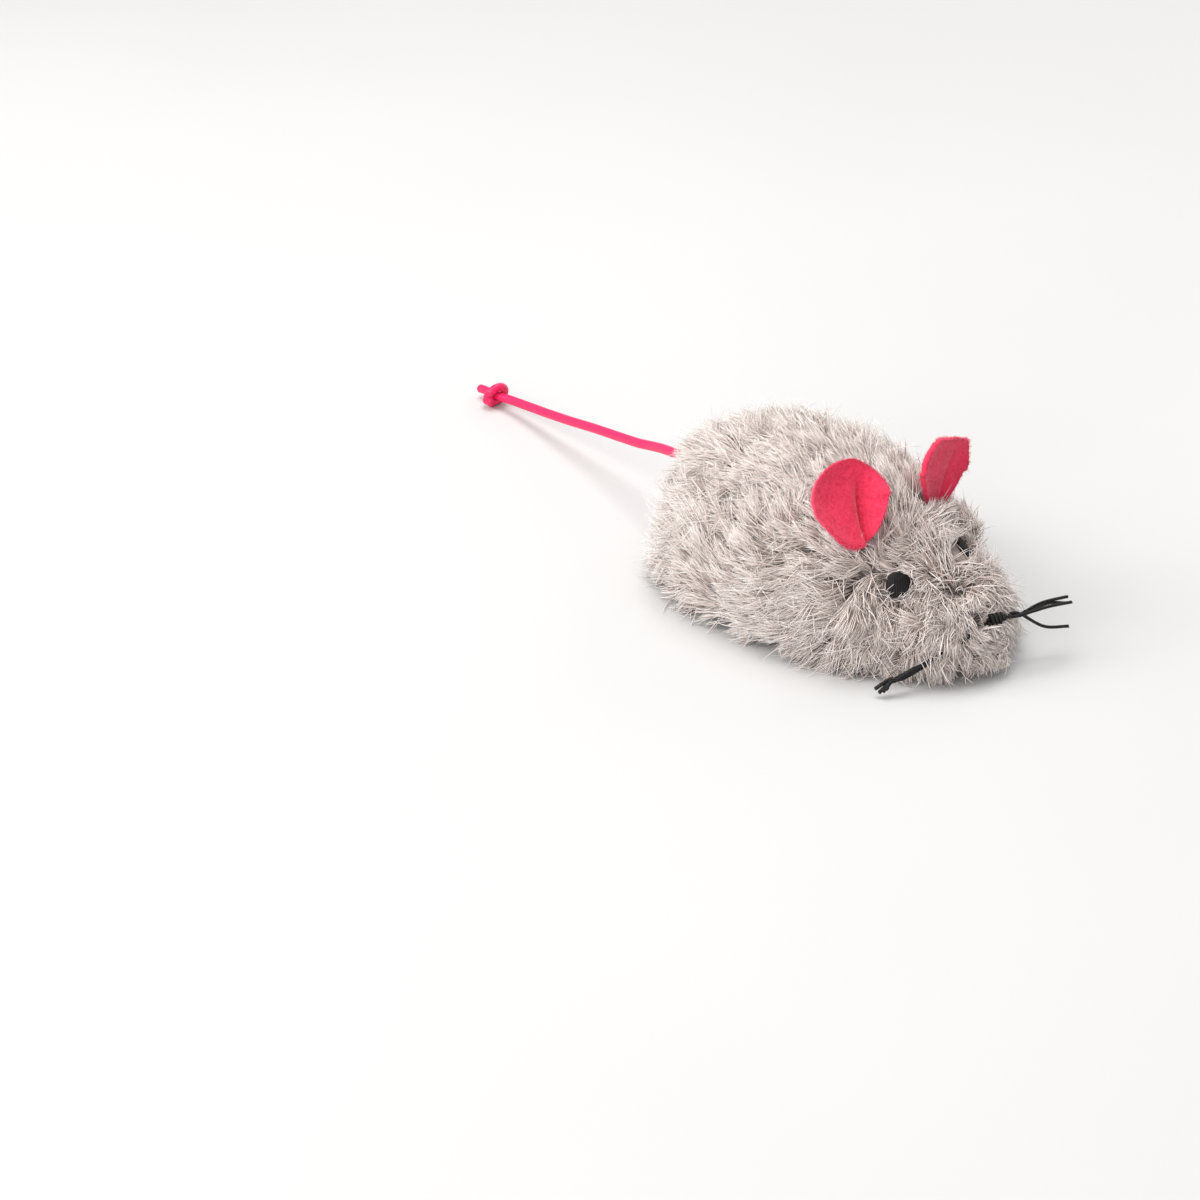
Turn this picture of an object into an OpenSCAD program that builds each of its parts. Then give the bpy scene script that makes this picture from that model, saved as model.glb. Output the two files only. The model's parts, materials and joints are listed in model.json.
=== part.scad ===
// Plush clockwork mouse: a fur cover over a moulded shell, with a wind-up motor inside.
// +X points to the nose, +Y to the mouse's left and +Z up. The origin is the middle of the
// base plate's flat underside, and the ground is one ground clearance below it.

/* [Body] */
// Length of the furry body, nose to rump
body_length = 84.5; // [80:0.5:110]
// Width of the furry body at its widest
body_width = 53; // [50:0.5:70]
// Height of the back above the base plate's underside
body_height = 31.3; // [29.5:0.1:42]
// Gap between the ground and the base plate
ground_clearance = 3; // [2.5:0.1:4]
// How far the pile tips stand out of the padded cover
pile_tips = 1.5; // [0.5:0.1:2.5]
// Thickness of the fur cover with its padding
fur_thickness = 4.5; // [3:0.1:5]
// Wall of the moulded shell
shell_wall = 1.5; // [1:0.1:1.8]
// Thickness of the base plate
base_thickness = 2; // [1.6:0.1:2.4]
// Gap between the base plate's edge and the shell's inner wall
base_gap = 0.15; // [0.1:0.05:0.3]

/* [Motor] */
// Module of every gear
gear_module = 0.4; // [0.36:0.01:0.42]
// Teeth on the great wheel
great_teeth = 36; // [32:1:38]
// Teeth on the intermediate wheel
intermediate_teeth = 30; // [28:1:31]
// Teeth on each pinion
pinion_teeth = 10; // [9:1:12]
// Distance between the two motor plates
plate_gap = 14; // [14:0.5:16]
// Thickness of a motor plate
plate_thickness = 1; // [0.8:0.1:1.2]
// Diameter of the winding arbor
arbor_diameter = 2.5; // [2:0.1:2.8]
// Diameter of the intermediate arbor
intermediate_arbor_diameter = 1.6; // [1.2:0.1:1.8]
// Diameter of the drive axle
axle_diameter = 2; // [1.6:0.1:2.2]
// Play between a shaft and its bore, on the radius
running_clearance = 0.05; // [0.02:0.01:0.1]
// Outer radius of the wound-down mainspring
spring_radius = 6.6; // [6:0.1:7]
// Width of the mainspring strip
spring_width = 5; // [4:0.1:5.5]
// Thickness of the mainspring strip
spring_strip = 0.25; // [0.2:0.05:0.35]
// Turns of the mainspring
spring_turns = 6; // [4:1:7]
// Teeth on the ratchet wheel
ratchet_teeth = 24; // [24:24:24]

/* [Wheels] */
// Diameter over the drive tyres
drive_wheel_diameter = 15; // [14:0.1:16]
// Width of a drive wheel
drive_wheel_width = 3; // [2.5:0.1:3.2]
// Thickness of the rubber tyre
tyre_thickness = 1.5; // [1:0.1:2.5]
// Gap between a motor plate and the wheel beside it
wheel_gap = 1.2; // [0.8:0.1:1.5]
// Diameter of the caster wheel
caster_wheel_diameter = 7; // [6:0.1:7.5]
// Width of the caster wheel
caster_wheel_width = 4; // [3:0.1:4.5]
// Distance that the caster wheel trails behind its pivot
caster_trail = 3.5; // [3:0.1:4]
// Diameter of the caster pivot
caster_pivot_diameter = 2.4; // [2:0.1:3]

/* [Key] */
// Distance from the eyelet's flange to the end of the key
key_reach = 7; // [5:0.5:12]
// Span across the key's two wings
key_span = 14; // [12:0.5:18]
// Thickness of the key's wings
key_thickness = 2; // [1.5:0.1:3]
// Outside diameter of the eyelet's sleeve in the flank
eyelet_diameter = 7.2; // [6.6:0.1:9]

/* [Face] */
// Diameter of an ear
ear_diameter = 16.4; // [12:0.1:20]
// Thickness of the ear felt
ear_thickness = 1.3; // [1:0.1:2]
// Diameter of an eye
eye_diameter = 5; // [3:0.1:6]
// Diameter of one whisker thread
whisker_diameter = 0.8; // [0.5:0.1:1]

/* [Tail] */
// Diameter of the tail cord
tail_diameter = 2; // [1.6:0.1:2.6]
// Diameter of the knot in the tail
knot_diameter = 5.4; // [4.5:0.1:5.8]

/* [Screws] */
// Shank diameter of a base screw
screw_diameter = 1.6; // [1.4:0.1:2]
// Head diameter of a base screw
screw_head_diameter = 3.4; // [3:0.1:4]
// Length of a base screw under its head
screw_length = 3.6; // [3:0.1:4.2]

/* [Hidden] */
$fn = 64;

// Body form: half an egg with a blunt rump, lying on the plane of the underside
nose_x = 43.5;
body_rings = 22;
ring_points = 18;
widest_at = 0.36;
section_power = 0.85;
shell_inset = pile_tips + fur_thickness;
cavity_inset = shell_inset + shell_wall;
plate_inset = cavity_inset + base_gap;

// Shafts, in side view
arbor_x = -9;
drive_wheel_radius = drive_wheel_diameter / 2;
axle_z = drive_wheel_radius - ground_clearance;
great_radius = great_teeth * gear_module / 2;
pinion_radius = pinion_teeth * gear_module / 2;
intermediate_radius = intermediate_teeth * gear_module / 2;
wheel_addendum = 0.6 * gear_module;
pinion_addendum = gear_module;
great_floor_gap = 1.06;
arbor_z = base_thickness + great_radius + wheel_addendum + great_floor_gap;
shaft_gap = 0.5;
tyre_gap = 0.15;
axle_reach = max(
    great_radius + wheel_addendum + axle_diameter / 2 + shaft_gap,
    drive_wheel_radius + arbor_diameter / 2 + tyre_gap
);
axle_x = arbor_x - sqrt(pow(axle_reach, 2) - pow(arbor_z - axle_z, 2));
great_centres = great_radius + pinion_radius;
axle_centres = intermediate_radius + pinion_radius;
arbor_to_axle = norm([axle_x - arbor_x, axle_z - arbor_z]);
along_line = (pow(great_centres, 2) - pow(axle_centres, 2) + pow(arbor_to_axle, 2)) / (2 * arbor_to_axle);
off_line = sqrt(pow(great_centres, 2) - pow(along_line, 2));
line_x = (axle_x - arbor_x) / arbor_to_axle;
line_z = (axle_z - arbor_z) / arbor_to_axle;
intermediate_x = arbor_x + along_line * line_x + off_line * line_z;
intermediate_z = arbor_z + along_line * line_z - off_line * line_x;
great_to_intermediate = atan2(intermediate_z - arbor_z, intermediate_x - arbor_x);
intermediate_to_axle = atan2(axle_z - intermediate_z, axle_x - intermediate_x);

// Places across the motor, from the middle plane
plate_inner_y = plate_gap / 2;
plate_outer_y = plate_inner_y + plate_thickness;
great_y = -0.4;
spring_y = (great_y - plate_inner_y - spring_width) / 2;
great_width = 1;
ratchet_y = great_y + great_width + 0.2;
ratchet_width = 1;
pinion_width = 2;
great_pinion_y = great_y + great_width / 2 - pinion_width / 2;
intermediate_wheel_y = 3;
axle_pinion_y = intermediate_wheel_y + great_width / 2 - pinion_width / 2;
pinion_relief = 0.08;
shaft_end = 0.6;
wheel_inner_y = plate_outer_y + wheel_gap;
wheel_outer_y = wheel_inner_y + drive_wheel_width;
rim_radius = drive_wheel_radius - tyre_thickness;
slot_margin = 0.6;

// Ratchet and click
ratchet_root = 3.5;
ratchet_tip = 4.1;
click_angle = 50;
click_rivet_radius = 0.6;
click_rivet_at = 5.6;
click_thickness = 0.35;
click_foot = click_rivet_at * [cos(click_angle - 62), sin(click_angle - 62)];
click_knee = 5.2 * [cos(click_angle - 25), sin(click_angle - 25)];
click_tip = 3.9 * [cos(click_angle - 1.2), sin(click_angle - 1.2)];

// Motor frame
pillar_radius = 1.2;
rivet_radius = 0.7;
plate_top = arbor_z + 9;
pillar_front_x = arbor_x + great_radius + 1.6;
pillar_rear_x = intermediate_x - intermediate_radius - 0.944;
pillar_places = [
    [pillar_front_x, base_thickness + 2.4], [pillar_front_x, plate_top - 2], [pillar_rear_x, base_thickness + 2.5]
];
plate_front_x = pillar_front_x + 1.8;
plate_rear_x = pillar_rear_x - 2;
post_radius = 0.8;
post_angle = 60;
post_reach = spring_radius + post_radius;
tab_width = 3;
tab_places = [plate_rear_x + 2.5, plate_front_x - 4.1];
tab_clearance = 0.1;
tab_depth = 1.6;

// Caster
caster_x = nose_x - 24.5;
caster_wheel_radius = caster_wheel_diameter / 2;
caster_wheel_z = caster_wheel_radius - ground_clearance;
fork_gap = 0.3;
fork_cheek = 1;
fork_disc_z = caster_wheel_z + caster_wheel_radius + 0.6;
fork_disc_height = 1.1;
fork_half_width = caster_wheel_width / 2 + fork_gap + fork_cheek;
turret_radius = norm([caster_trail + caster_wheel_radius, caster_wheel_width / 2]) + 0.4;
turret_wall = 1.2;
turret_ceiling = fork_disc_z + fork_disc_height + 0.1;
turret_top = turret_ceiling + 1.4;
clip_gap = 0.1;
clip_height = 0.6;
caster_axle_radius = 0.6;

// Key
key_hub_radius = arbor_diameter / 2 + 0.85;
key_hub_depth = 3;
key_hub_lap = 1;
wing_gap = 2;
eyelet_wall = 0.8;
eyelet_flange_height = 0.5;
eyelet_flange_lip = 1.1;

// Screws
boss_radius = 2;
boss_rear_inset = 4;
boss_side_inset = 5.43;
boss_front_inset = 5;
boss_side_x = 5;
head_height = 1;
head_recess = 1.1;
screw_hole_play = 0.1;

// Face: each piece has its share of the body's length, and its angle up from the body's edge
ear_facing = [0.75, 0.25, 0.6];
ear_normal = ear_facing / norm(ear_facing);
ear_rise = sqrt(1 - ear_normal.z * ear_normal.z);
ear_up = [-ear_normal.z * ear_normal.x / ear_rise, -ear_normal.z * ear_normal.y / ear_rise, ear_rise];
// The rim's lowest point, ahead of, outside of and above the point that an ear is placed by
ear_foot = [4.703, 1.568, 1.668];
ear_right_share = 0.6233;
ear_right_angle = 60.3;
ear_right_sink = 3.9;
ear_left_share = 0.6442;
ear_left_angle = 57.2;
ear_left_sink = 4.02;
eye_share = 0.778;
eye_angle = 51.2;
eye_facing = [0.55, 0.72, 0.45];
eye_height = 1.2;
eye_lift = eye_height / 2 + eye_diameter / 5;
whisker_share = 0.9447;
whisker_angle = 71.5;
whisker_depth = 1.25;
whisker_knot_radius = 1.3;
whiskers_right_reach = [[-5.9, -17.5, -6.8], [-8.4, -19, -7.4], [-9.2, -18, -9.2], [-6.8, -18.6, -9]];
whiskers_left_reach = [[7.6, 12.6, 1.4], [6, 13.5, 1.6], [5.6, 14, -0.2], [7.8, 12, -3.6]];

// Tail: its route from the rump to the knot, which lies on the ground
tail_route = [
    [-35, -4.2, 16.9], [-38.5, -2.9, 16.3], [-42, -1.6, 15.4], [-45.5, -0.2, 14.4], [-49.5, 1.4, 13.1],
    [-53.5, 2.8, 11.7], [-58, 4, 10.3], [-62.5, 5.3, 9.1], [-67, 6.5, 8], [-71.5, 7.6, 7],
    [-76, 8.6, 6], [-80.5, 9.5, 5], [-85, 10.4, 4], [-89.5, 11.3, 3.1], [-94, 12.2, 2.2],
    [-98.5, 13.1, 1.4], [-102.5, 13.8, 0.7], [-106, 14.3, 0.2], [-109.2, 14.5, -0.2]
];
tail_sides = 8;
// How deep the cord's end sits in the knot, and how far the free end reaches past its middle
knot_lap = 0.35;
knot_tail = [-6.2, -0.9];
tail_tip = tail_route[len(tail_route) - 1];
knot_place = [tail_tip.x - knot_diameter / 2 + knot_lap, tail_tip.y, knot_diameter / 2 - ground_clearance];
knot_end = [knot_place.x + knot_tail.x, knot_place.y + knot_tail.y, tail_diameter * 0.6 - ground_clearance];

// ---- Body form ----

// How full the body is at a share s of its length, from 0 at the rump to 1 at the nose
function fullness(s, rear_power, front_power, rear_root, front_root) =
    s < widest_at
        ? pow(1 - pow((widest_at - s) / widest_at, rear_power), rear_root)
        : pow(1 - pow((s - widest_at) / (1 - widest_at), front_power), front_root);

function half_width(s) = fullness(s, 2.3, 2.0, 0.52, 0.6);
function crown(s) = fullness(s, 3.6, 1.9, 0.45, 0.76);

// One point of the body's surface: share s along it, angle a from the right edge over the back
function body_point(s, a, inset) = [
    nose_x - body_length + inset + s * (body_length - 2 * inset),
    -(body_width / 2 - inset) * half_width(s) * sign(cos(a)) * pow(abs(cos(a)), section_power),
    (body_height - inset) * crown(s) * pow(abs(sin(a)), section_power)
];

// Share of the length at x
function share_at(x, inset) = (x - nose_x + body_length - inset) / (body_length - 2 * inset);

// Distance from the middle plane to the surface at x and height z
function flank_at(x, z, inset) =
    let (
        s = share_at(x, inset),
        rise = pow(z / ((body_height - inset) * crown(s)), 1 / section_power)
    )
    (body_width / 2 - inset) * half_width(s) * pow(sqrt(1 - rise * rise), section_power);

// A point of the surface on one side: -1 is the right, 1 the left
function side_point(s, a, inset, side) = body_point(s, side < 0 ? a : 180 - a, inset);

function body_points(inset) = [
    for (i = [1 : body_rings - 1])
        for (j = [0 : ring_points])
            body_point((1 - cos(180 * i / body_rings)) / 2, 180 * j / ring_points, inset)
];

function rear_pole(inset) = [nose_x - body_length + inset, 0, 0];
function nose_pole(inset) = [nose_x - inset, 0, 0];

// Index of ring i's point j, where a surface's rings start at index 'first'
function at(first, i, j) = first + i * (ring_points + 1) + j;

// Triangles of one surface: its rings, and a fan to the pole at each end
function surface_faces(first, rear, nose) = let (last = body_rings - 2) concat(
    [for (i = [0 : last - 1]) for (j = [0 : ring_points - 1])
        each [
            [at(first, i, j), at(first, i, j + 1), at(first, i + 1, j + 1)],
            [at(first, i, j), at(first, i + 1, j + 1), at(first, i + 1, j)]
        ]],
    [for (j = [0 : ring_points - 1]) [rear, at(first, 0, j + 1), at(first, 0, j)]],
    [for (j = [0 : ring_points - 1]) [nose, at(first, last, j), at(first, last, j + 1)]]
);

function turned(faces) = [for (f = faces) [f[2], f[1], f[0]]];

// The rim at the underside, from the rear pole along the right edge, to the nose and back
function rim(first, rear, nose) = concat(
    [rear],
    [for (i = [0 : body_rings - 2]) at(first, i, 0)],
    [nose],
    [for (i = [body_rings - 2 : -1 : 0]) at(first, i, ring_points)]
);

// Solid body form, drawn in by inset
module body_form(inset) {
    count = (body_rings - 1) * (ring_points + 1);
    points = concat(body_points(inset), [rear_pole(inset), nose_pole(inset)]);
    floor_rim = rim(0, count, count + 1);
    polyhedron(points, concat(surface_faces(0, count, count + 1), [floor_rim]));
}

// Hollow body form between two insets, open at the underside
module body_skin(outer_inset, inner_inset) {
    count = (body_rings - 1) * (ring_points + 1);
    points = concat(
        body_points(outer_inset), [rear_pole(outer_inset), nose_pole(outer_inset)],
        body_points(inner_inset), [rear_pole(inner_inset), nose_pole(inner_inset)]
    );
    inner = count + 2;
    outer_rim = rim(0, count, count + 1);
    inner_rim = rim(inner, inner + count, inner + count + 1);
    rim_count = len(outer_rim);
    rim_faces = [for (k = [0 : rim_count - 1])
        let (next = (k + 1) % rim_count)
        each [
            [outer_rim[k], outer_rim[next], inner_rim[next]],
            [outer_rim[k], inner_rim[next], inner_rim[k]]
        ]
    ];
    polyhedron(points, concat(
        surface_faces(0, count, count + 1),
        turned(surface_faces(inner, inner + count, inner + count + 1)),
        rim_faces
    ));
}

// ---- Helpers ----

// A cylinder along Y from y, at side-view place [x, z]
module across(place, y, width, radius) {
    translate([place[0], y + width, place[1]])
        rotate([90, 0, 0])
            cylinder(h = width, r = radius);
}

// A side-view outline given width along Y from y
module sideways(place, y, width, turn = 0) {
    translate([place[0], y + width, place[1]])
        rotate([90, 0, 0])
            rotate([0, 0, turn])
                linear_extrude(width)
                    children();
}

// Rotates children so that +Z points along a direction
module pointed(direction) {
    rotate([0, acos(direction[2] / norm(direction)), atan2(direction[1], direction[0])])
        children();
}

// A straight rod between two points
module rod(from, to, radius) {
    translate(from)
        pointed(to - from)
            cylinder(h = norm(to - from), r = radius, $fn = 24);
}

// ---- Gears ----

// Involute angle at radius r, for a base circle
function involute(base, r) = r <= base ? 0 : sqrt(pow(r / base, 2) - 1) * 180 / PI - acos(base / r);

pressure_angle = 20;
backlash = 0.08;
root_depth = 1.3 * gear_module;
flank_steps = 5;

// Half the angle that a tooth covers at radius r
function half_tooth(teeth, r) =
    let (
        pitch = teeth * gear_module / 2,
        base = pitch * cos(pressure_angle),
        at_pitch = 90 / teeth - (backlash / 4) / pitch * 180 / PI
    )
    at_pitch + involute(base, pitch) - involute(base, r);

// Outline of a gear with a tooth centred on angle 0
module gear_outline(teeth, addendum) {
    pitch = teeth * gear_module / 2;
    root = pitch - root_depth;
    tip = pitch + addendum;
    start = max(root + 0.02, pitch * cos(pressure_angle));
    heights = [for (k = [0 : flank_steps]) start + (tip - start) * k / flank_steps];
    points = [for (t = [0 : teeth - 1])
        let (middle = 360 * t / teeth)
        each concat(
            [[root, middle - half_tooth(teeth, start) - 0.5]],
            [for (r = heights) [r, middle - half_tooth(teeth, r)]],
            [for (k = [flank_steps : -1 : 0]) [heights[k], middle + half_tooth(teeth, heights[k])]],
            [[root, middle + half_tooth(teeth, start) + 0.5]]
        )
    ];
    polygon([for (p = points) p[0] * [cos(p[1]), sin(p[1])]]);
}

module gear(place, y, width, teeth, addendum, bore, turn) {
    sideways(place, y, width, turn)
        difference() {
            gear_outline(teeth, addendum);
            circle(r = bore);
        }
}

arbor_place = [arbor_x, arbor_z];
intermediate_place = [intermediate_x, intermediate_z];
axle_place = [axle_x, axle_z];
eyelet_start = flank_at(arbor_x, arbor_z, cavity_inset) - 0.57;
eyelet_flange_y = flank_at(arbor_x, arbor_z, pile_tips) + 0.945;
key_hub_start = eyelet_flange_y - key_hub_depth;
wing_start = eyelet_flange_y + wing_gap;
key_hub_end = wing_start + key_hub_lap;
key_end = eyelet_flange_y + key_reach;
boss_side_y = flank_at(boss_side_x, 0, cavity_inset) - boss_side_inset;
boss_places = [
    [nose_x - body_length + cavity_inset + boss_rear_inset, 0],
    [boss_side_x, boss_side_y],
    [boss_side_x, -boss_side_y],
    [nose_x - cavity_inset - boss_front_inset, 0]
];
arbor_radius = arbor_diameter / 2;
intermediate_arbor_radius = intermediate_arbor_diameter / 2;
axle_radius = axle_diameter / 2;

// ---- Plush pieces ----

module fur_cover() {
    color([0.80, 0.75, 0.73])
        difference() {
            body_skin(pile_tips, shell_inset);
            across(arbor_place, 0, body_width, eyelet_diameter / 2);
        }
}

// An ear is a felt disc, stood on its edge and turned to face forward, up and a little outward
module ear(s, a, sink, side) {
    foot = side_point(s, a, pile_tips, side) + [ear_foot.x, side * ear_foot.y, ear_foot.z - sink];
    translate(foot + [ear_up.x, side * ear_up.y, ear_up.z] * ear_diameter / 2)
        pointed([ear_facing[0], side * ear_facing[1], ear_facing[2]])
            cylinder(h = ear_thickness, r = ear_diameter / 2, center = true);
}

module ear_right() {
    color([0.90, 0.20, 0.32]) ear(ear_right_share, ear_right_angle, ear_right_sink, -1);
}

module ear_left() {
    color([0.90, 0.20, 0.32]) ear(ear_left_share, ear_left_angle, ear_left_sink, 1);
}

module eye(side) {
    translate(side_point(eye_share, eye_angle, shell_inset - eye_lift, side))
        pointed([eye_facing[0], side * eye_facing[1], eye_facing[2]])
            cylinder(h = eye_height, r = eye_diameter / 2, center = true);
}

module eye_right() {
    color([0.06, 0.05, 0.05]) eye(-1);
}

module eye_left() {
    color([0.06, 0.05, 0.05]) eye(1);
}

// A knot with four threads that leave it side by side, and stay clear of the ground
module whisker_bundle(side, reach) {
    root = side_point(whisker_share, whisker_angle, pile_tips + whisker_depth, side);
    spread = 0.75 * whisker_diameter;
    lowest = whisker_diameter / 2 + 0.2 - ground_clearance;
    union() {
        translate(root) sphere(r = whisker_knot_radius);
        for (k = [0 : len(reach) - 1])
            let (tip = root + reach[k])
            rod(root + spread * [cos(90 * k + 45), 0, sin(90 * k + 45)],
                [tip[0], tip[1], max(tip[2], lowest)], whisker_diameter / 2);
    }
}

module whiskers_right() {
    color([0.08, 0.07, 0.07]) whisker_bundle(-1, whiskers_right_reach);
}

module whiskers_left() {
    color([0.08, 0.07, 0.07]) whisker_bundle(1, whiskers_left_reach);
}

// Direction of the tail at point i of its route
function tail_direction(i) =
    let (
        before = tail_route[max(i - 1, 0)],
        after = tail_route[min(i + 1, len(tail_route) - 1)]
    )
    (after - before) / norm(after - before);

function tail_ring(i) =
    let (
        along = tail_direction(i),
        side = cross([0, 0, 1], along) / norm(cross([0, 0, 1], along)),
        up = cross(along, side)
    )
    [for (k = [0 : tail_sides - 1])
        let (a = 360 * (k + 0.5) / tail_sides)
        tail_route[i] + tail_diameter / 2 * (cos(a) * side + sin(a) * up)
    ];

module tail_cord() {
    rings = len(tail_route);
    points = [for (i = [0 : rings - 1]) each tail_ring(i)];
    sides = [for (i = [0 : rings - 2]) for (k = [0 : tail_sides - 1])
        let (
            a = i * tail_sides + k,
            b = i * tail_sides + (k + 1) % tail_sides
        )
        each [[a, b, b + tail_sides], [a, b + tail_sides, a + tail_sides]]
    ];
    ends = [
        [for (k = [tail_sides - 1 : -1 : 0]) k],
        [for (k = [0 : tail_sides - 1]) (rings - 1) * tail_sides + k]
    ];
    color([0.97, 0.24, 0.45]) polyhedron(points, turned_all(concat(sides, ends)));
}

function turned_all(faces) = [for (f = faces) [for (k = [len(f) - 1 : -1 : 0]) f[k]]];

module tail_knot() {
    color([0.97, 0.24, 0.45])
        union() {
            translate(knot_place) sphere(r = knot_diameter / 2, $fn = 32);
            rod(knot_place, knot_end, tail_diameter / 2);
        }
}

// ---- Casing ----

module upper_shell() {
    color([0.90, 0.90, 0.88])
        difference() {
            union() {
                body_skin(shell_inset, cavity_inset);
                intersection() {
                    for (place = boss_places)
                        translate([place[0], place[1], base_thickness])
                            cylinder(h = body_height, r = boss_radius);
                    body_form(shell_inset + shell_wall / 2);
                }
            }
            across(arbor_place, 0, body_width, eyelet_diameter / 2);
            for (place = boss_places)
                translate([place[0], place[1], base_thickness - 0.1])
                    cylinder(h = screw_length - base_thickness + head_recess + 0.1, r = screw_diameter / 2);
        }
}

module wheel_slot(side) {
    half_length = drive_wheel_radius + slot_margin;
    width = drive_wheel_width + 2 * slot_margin;
    translate([axle_x - half_length, side * (wheel_inner_y + wheel_outer_y) / 2 - width / 2, -1])
        cube([2 * half_length, width, base_thickness + 2]);
}

// The slots that take the motor plates' tabs
module tab_slots(side) {
    for (x = tab_places)
        translate([
            x - tab_width / 2 - tab_clearance,
            side * (plate_inner_y + plate_thickness / 2) - plate_thickness / 2 - tab_clearance,
            -1
        ])
            cube([tab_width + 2 * tab_clearance, plate_thickness + 2 * tab_clearance, base_thickness + 2]);
}

module base_plate() {
    color([0.16, 0.16, 0.17])
        difference() {
            union() {
                intersection() {
                    body_form(plate_inset);
                    translate([-body_length, -body_width, 0])
                        cube([2 * body_length, 2 * body_width, base_thickness]);
                }
                translate([caster_x, 0, 0])
                    cylinder(h = turret_top, r = turret_radius + turret_wall);
            }
            translate([caster_x, 0, -1])
                cylinder(h = turret_ceiling + 1, r = turret_radius);
            translate([caster_x, 0, 0])
                cylinder(h = turret_top + 1, r = caster_pivot_diameter / 2 + running_clearance);
            for (side = [-1, 1]) {
                wheel_slot(side);
                tab_slots(side);
            }
            across(axle_place, axle_pinion_y - pinion_relief, pinion_width + 2 * pinion_relief,
                pinion_radius + pinion_addendum + pinion_relief);
            for (place = boss_places)
                translate([place[0], place[1], -1]) {
                    cylinder(h = base_thickness + 2, r = screw_diameter / 2 + screw_hole_play);
                    cylinder(h = 1 + head_recess, r = screw_head_diameter / 2 + screw_hole_play);
                }
        }
}

module base_screws() {
    color([0.75, 0.76, 0.78])
        for (place = boss_places)
            translate([place[0], place[1], head_recess - head_height])
                difference() {
                    union() {
                        cylinder(h = head_height, r = screw_head_diameter / 2);
                        cylinder(h = head_height + screw_length, r = screw_diameter / 2);
                    }
                    for (turn = [0, 90])
                        rotate([0, 0, turn])
                            translate([-screw_head_diameter / 3, -0.2, -1])
                                cube([screw_head_diameter * 2 / 3, 0.4, 1.5]);
                }
}

module key_eyelet() {
    outer = eyelet_diameter / 2;
    color([0.78, 0.79, 0.80])
        difference() {
            union() {
                across(arbor_place, eyelet_start, eyelet_flange_y - eyelet_start, outer);
                across(arbor_place, eyelet_flange_y, eyelet_flange_height, outer + eyelet_flange_lip);
            }
            across(arbor_place, eyelet_start - 1, body_width, outer - eyelet_wall);
        }
}

// ---- Motor ----

module motor_plate_outline() {
    polygon([
        [plate_rear_x, base_thickness], [plate_front_x, base_thickness],
        [plate_front_x, plate_top], [intermediate_x - 2, plate_top],
        [plate_rear_x, axle_z + pinion_radius]
    ]);
}

module motor_plate(y) {
    difference() {
        union() {
            sideways([0, 0], y, plate_thickness) motor_plate_outline();
            for (x = tab_places)
                translate([x - tab_width / 2, y, base_thickness - tab_depth])
                    cube([tab_width, plate_thickness, tab_depth + 1]);
        }
        across(arbor_place, y - 1, plate_thickness + 2, arbor_radius + running_clearance);
        across(intermediate_place, y - 1, plate_thickness + 2, intermediate_arbor_radius + running_clearance);
        across(axle_place, y - 1, plate_thickness + 2, axle_radius + running_clearance);
        for (place = pillar_places)
            across(place, y - 1, plate_thickness + 2, rivet_radius);
    }
}

module motor_plate_right() {
    post_place = arbor_place + post_reach * [cos(post_angle), sin(post_angle)];
    color([0.72, 0.72, 0.70])
        difference() {
            motor_plate(-plate_outer_y);
            across(post_place, -plate_outer_y - 1, plate_thickness + 2, rivet_radius);
        }
}

module motor_plate_left() {
    color([0.72, 0.72, 0.70]) motor_plate(plate_inner_y);
}

// Each pillar has a shoulder between the plates and a rivet end through each
module frame_pillars() {
    rivet_length = plate_gap + 2 * plate_thickness + 0.6;
    color([0.68, 0.68, 0.70])
        for (place = pillar_places) {
            across(place, -plate_inner_y, plate_gap, pillar_radius);
            across(place, -rivet_length / 2, rivet_length, rivet_radius);
        }
}

module spring_post() {
    post_place = arbor_place + post_reach * [cos(post_angle), sin(post_angle)];
    color([0.68, 0.68, 0.70])
        union() {
            across(post_place, -plate_inner_y, plate_inner_y + spring_y + spring_width, post_radius);
            across(post_place, -plate_outer_y - 0.3, plate_thickness + 0.4, rivet_radius);
        }
}

// The mainspring lies as a flat spiral from the arbor's barrel to the post
module mainspring() {
    inner = arbor_radius + 0.75;
    steps = spring_turns * 24;
    outer_middle = spring_radius - spring_strip / 2;
    function middle(k) = inner + (outer_middle - inner) * k / steps;
    function spiral_angle(k) = post_angle - (steps - k) * 15;
    outside = [for (k = [0 : steps])
        (middle(k) + spring_strip / 2) * [cos(spiral_angle(k)), sin(spiral_angle(k))]];
    inside = [for (k = [steps : -1 : 0])
        (middle(k) - spring_strip / 2) * [cos(spiral_angle(k)), sin(spiral_angle(k))]];
    color([0.35, 0.38, 0.45])
        sideways(arbor_place, spring_y, spring_width)
            polygon(concat(outside, inside));
}

module winding_arbor() {
    barrel_radius = arbor_radius + 0.5;
    color([0.62, 0.62, 0.64])
        union() {
            across(arbor_place, -plate_outer_y - shaft_end, plate_outer_y + shaft_end + key_hub_end - 0.5,
                arbor_radius);
            across(arbor_place, spring_y, spring_width, barrel_radius);
        }
}

// Saw teeth, steep on the side that the click holds
module ratchet_outline() {
    pitch = 360 / ratchet_teeth;
    polygon([for (t = [0 : ratchet_teeth - 1]) each [
        ratchet_root * [cos(click_angle + t * pitch), sin(click_angle + t * pitch)],
        ratchet_tip * [cos(click_angle + t * pitch + 0.5), sin(click_angle + t * pitch + 0.5)]
    ]]);
}

module ratchet_wheel() {
    color([0.72, 0.60, 0.30])
        sideways(arbor_place, ratchet_y, ratchet_width)
            difference() {
                ratchet_outline();
                circle(r = arbor_radius);
            }
}

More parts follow.
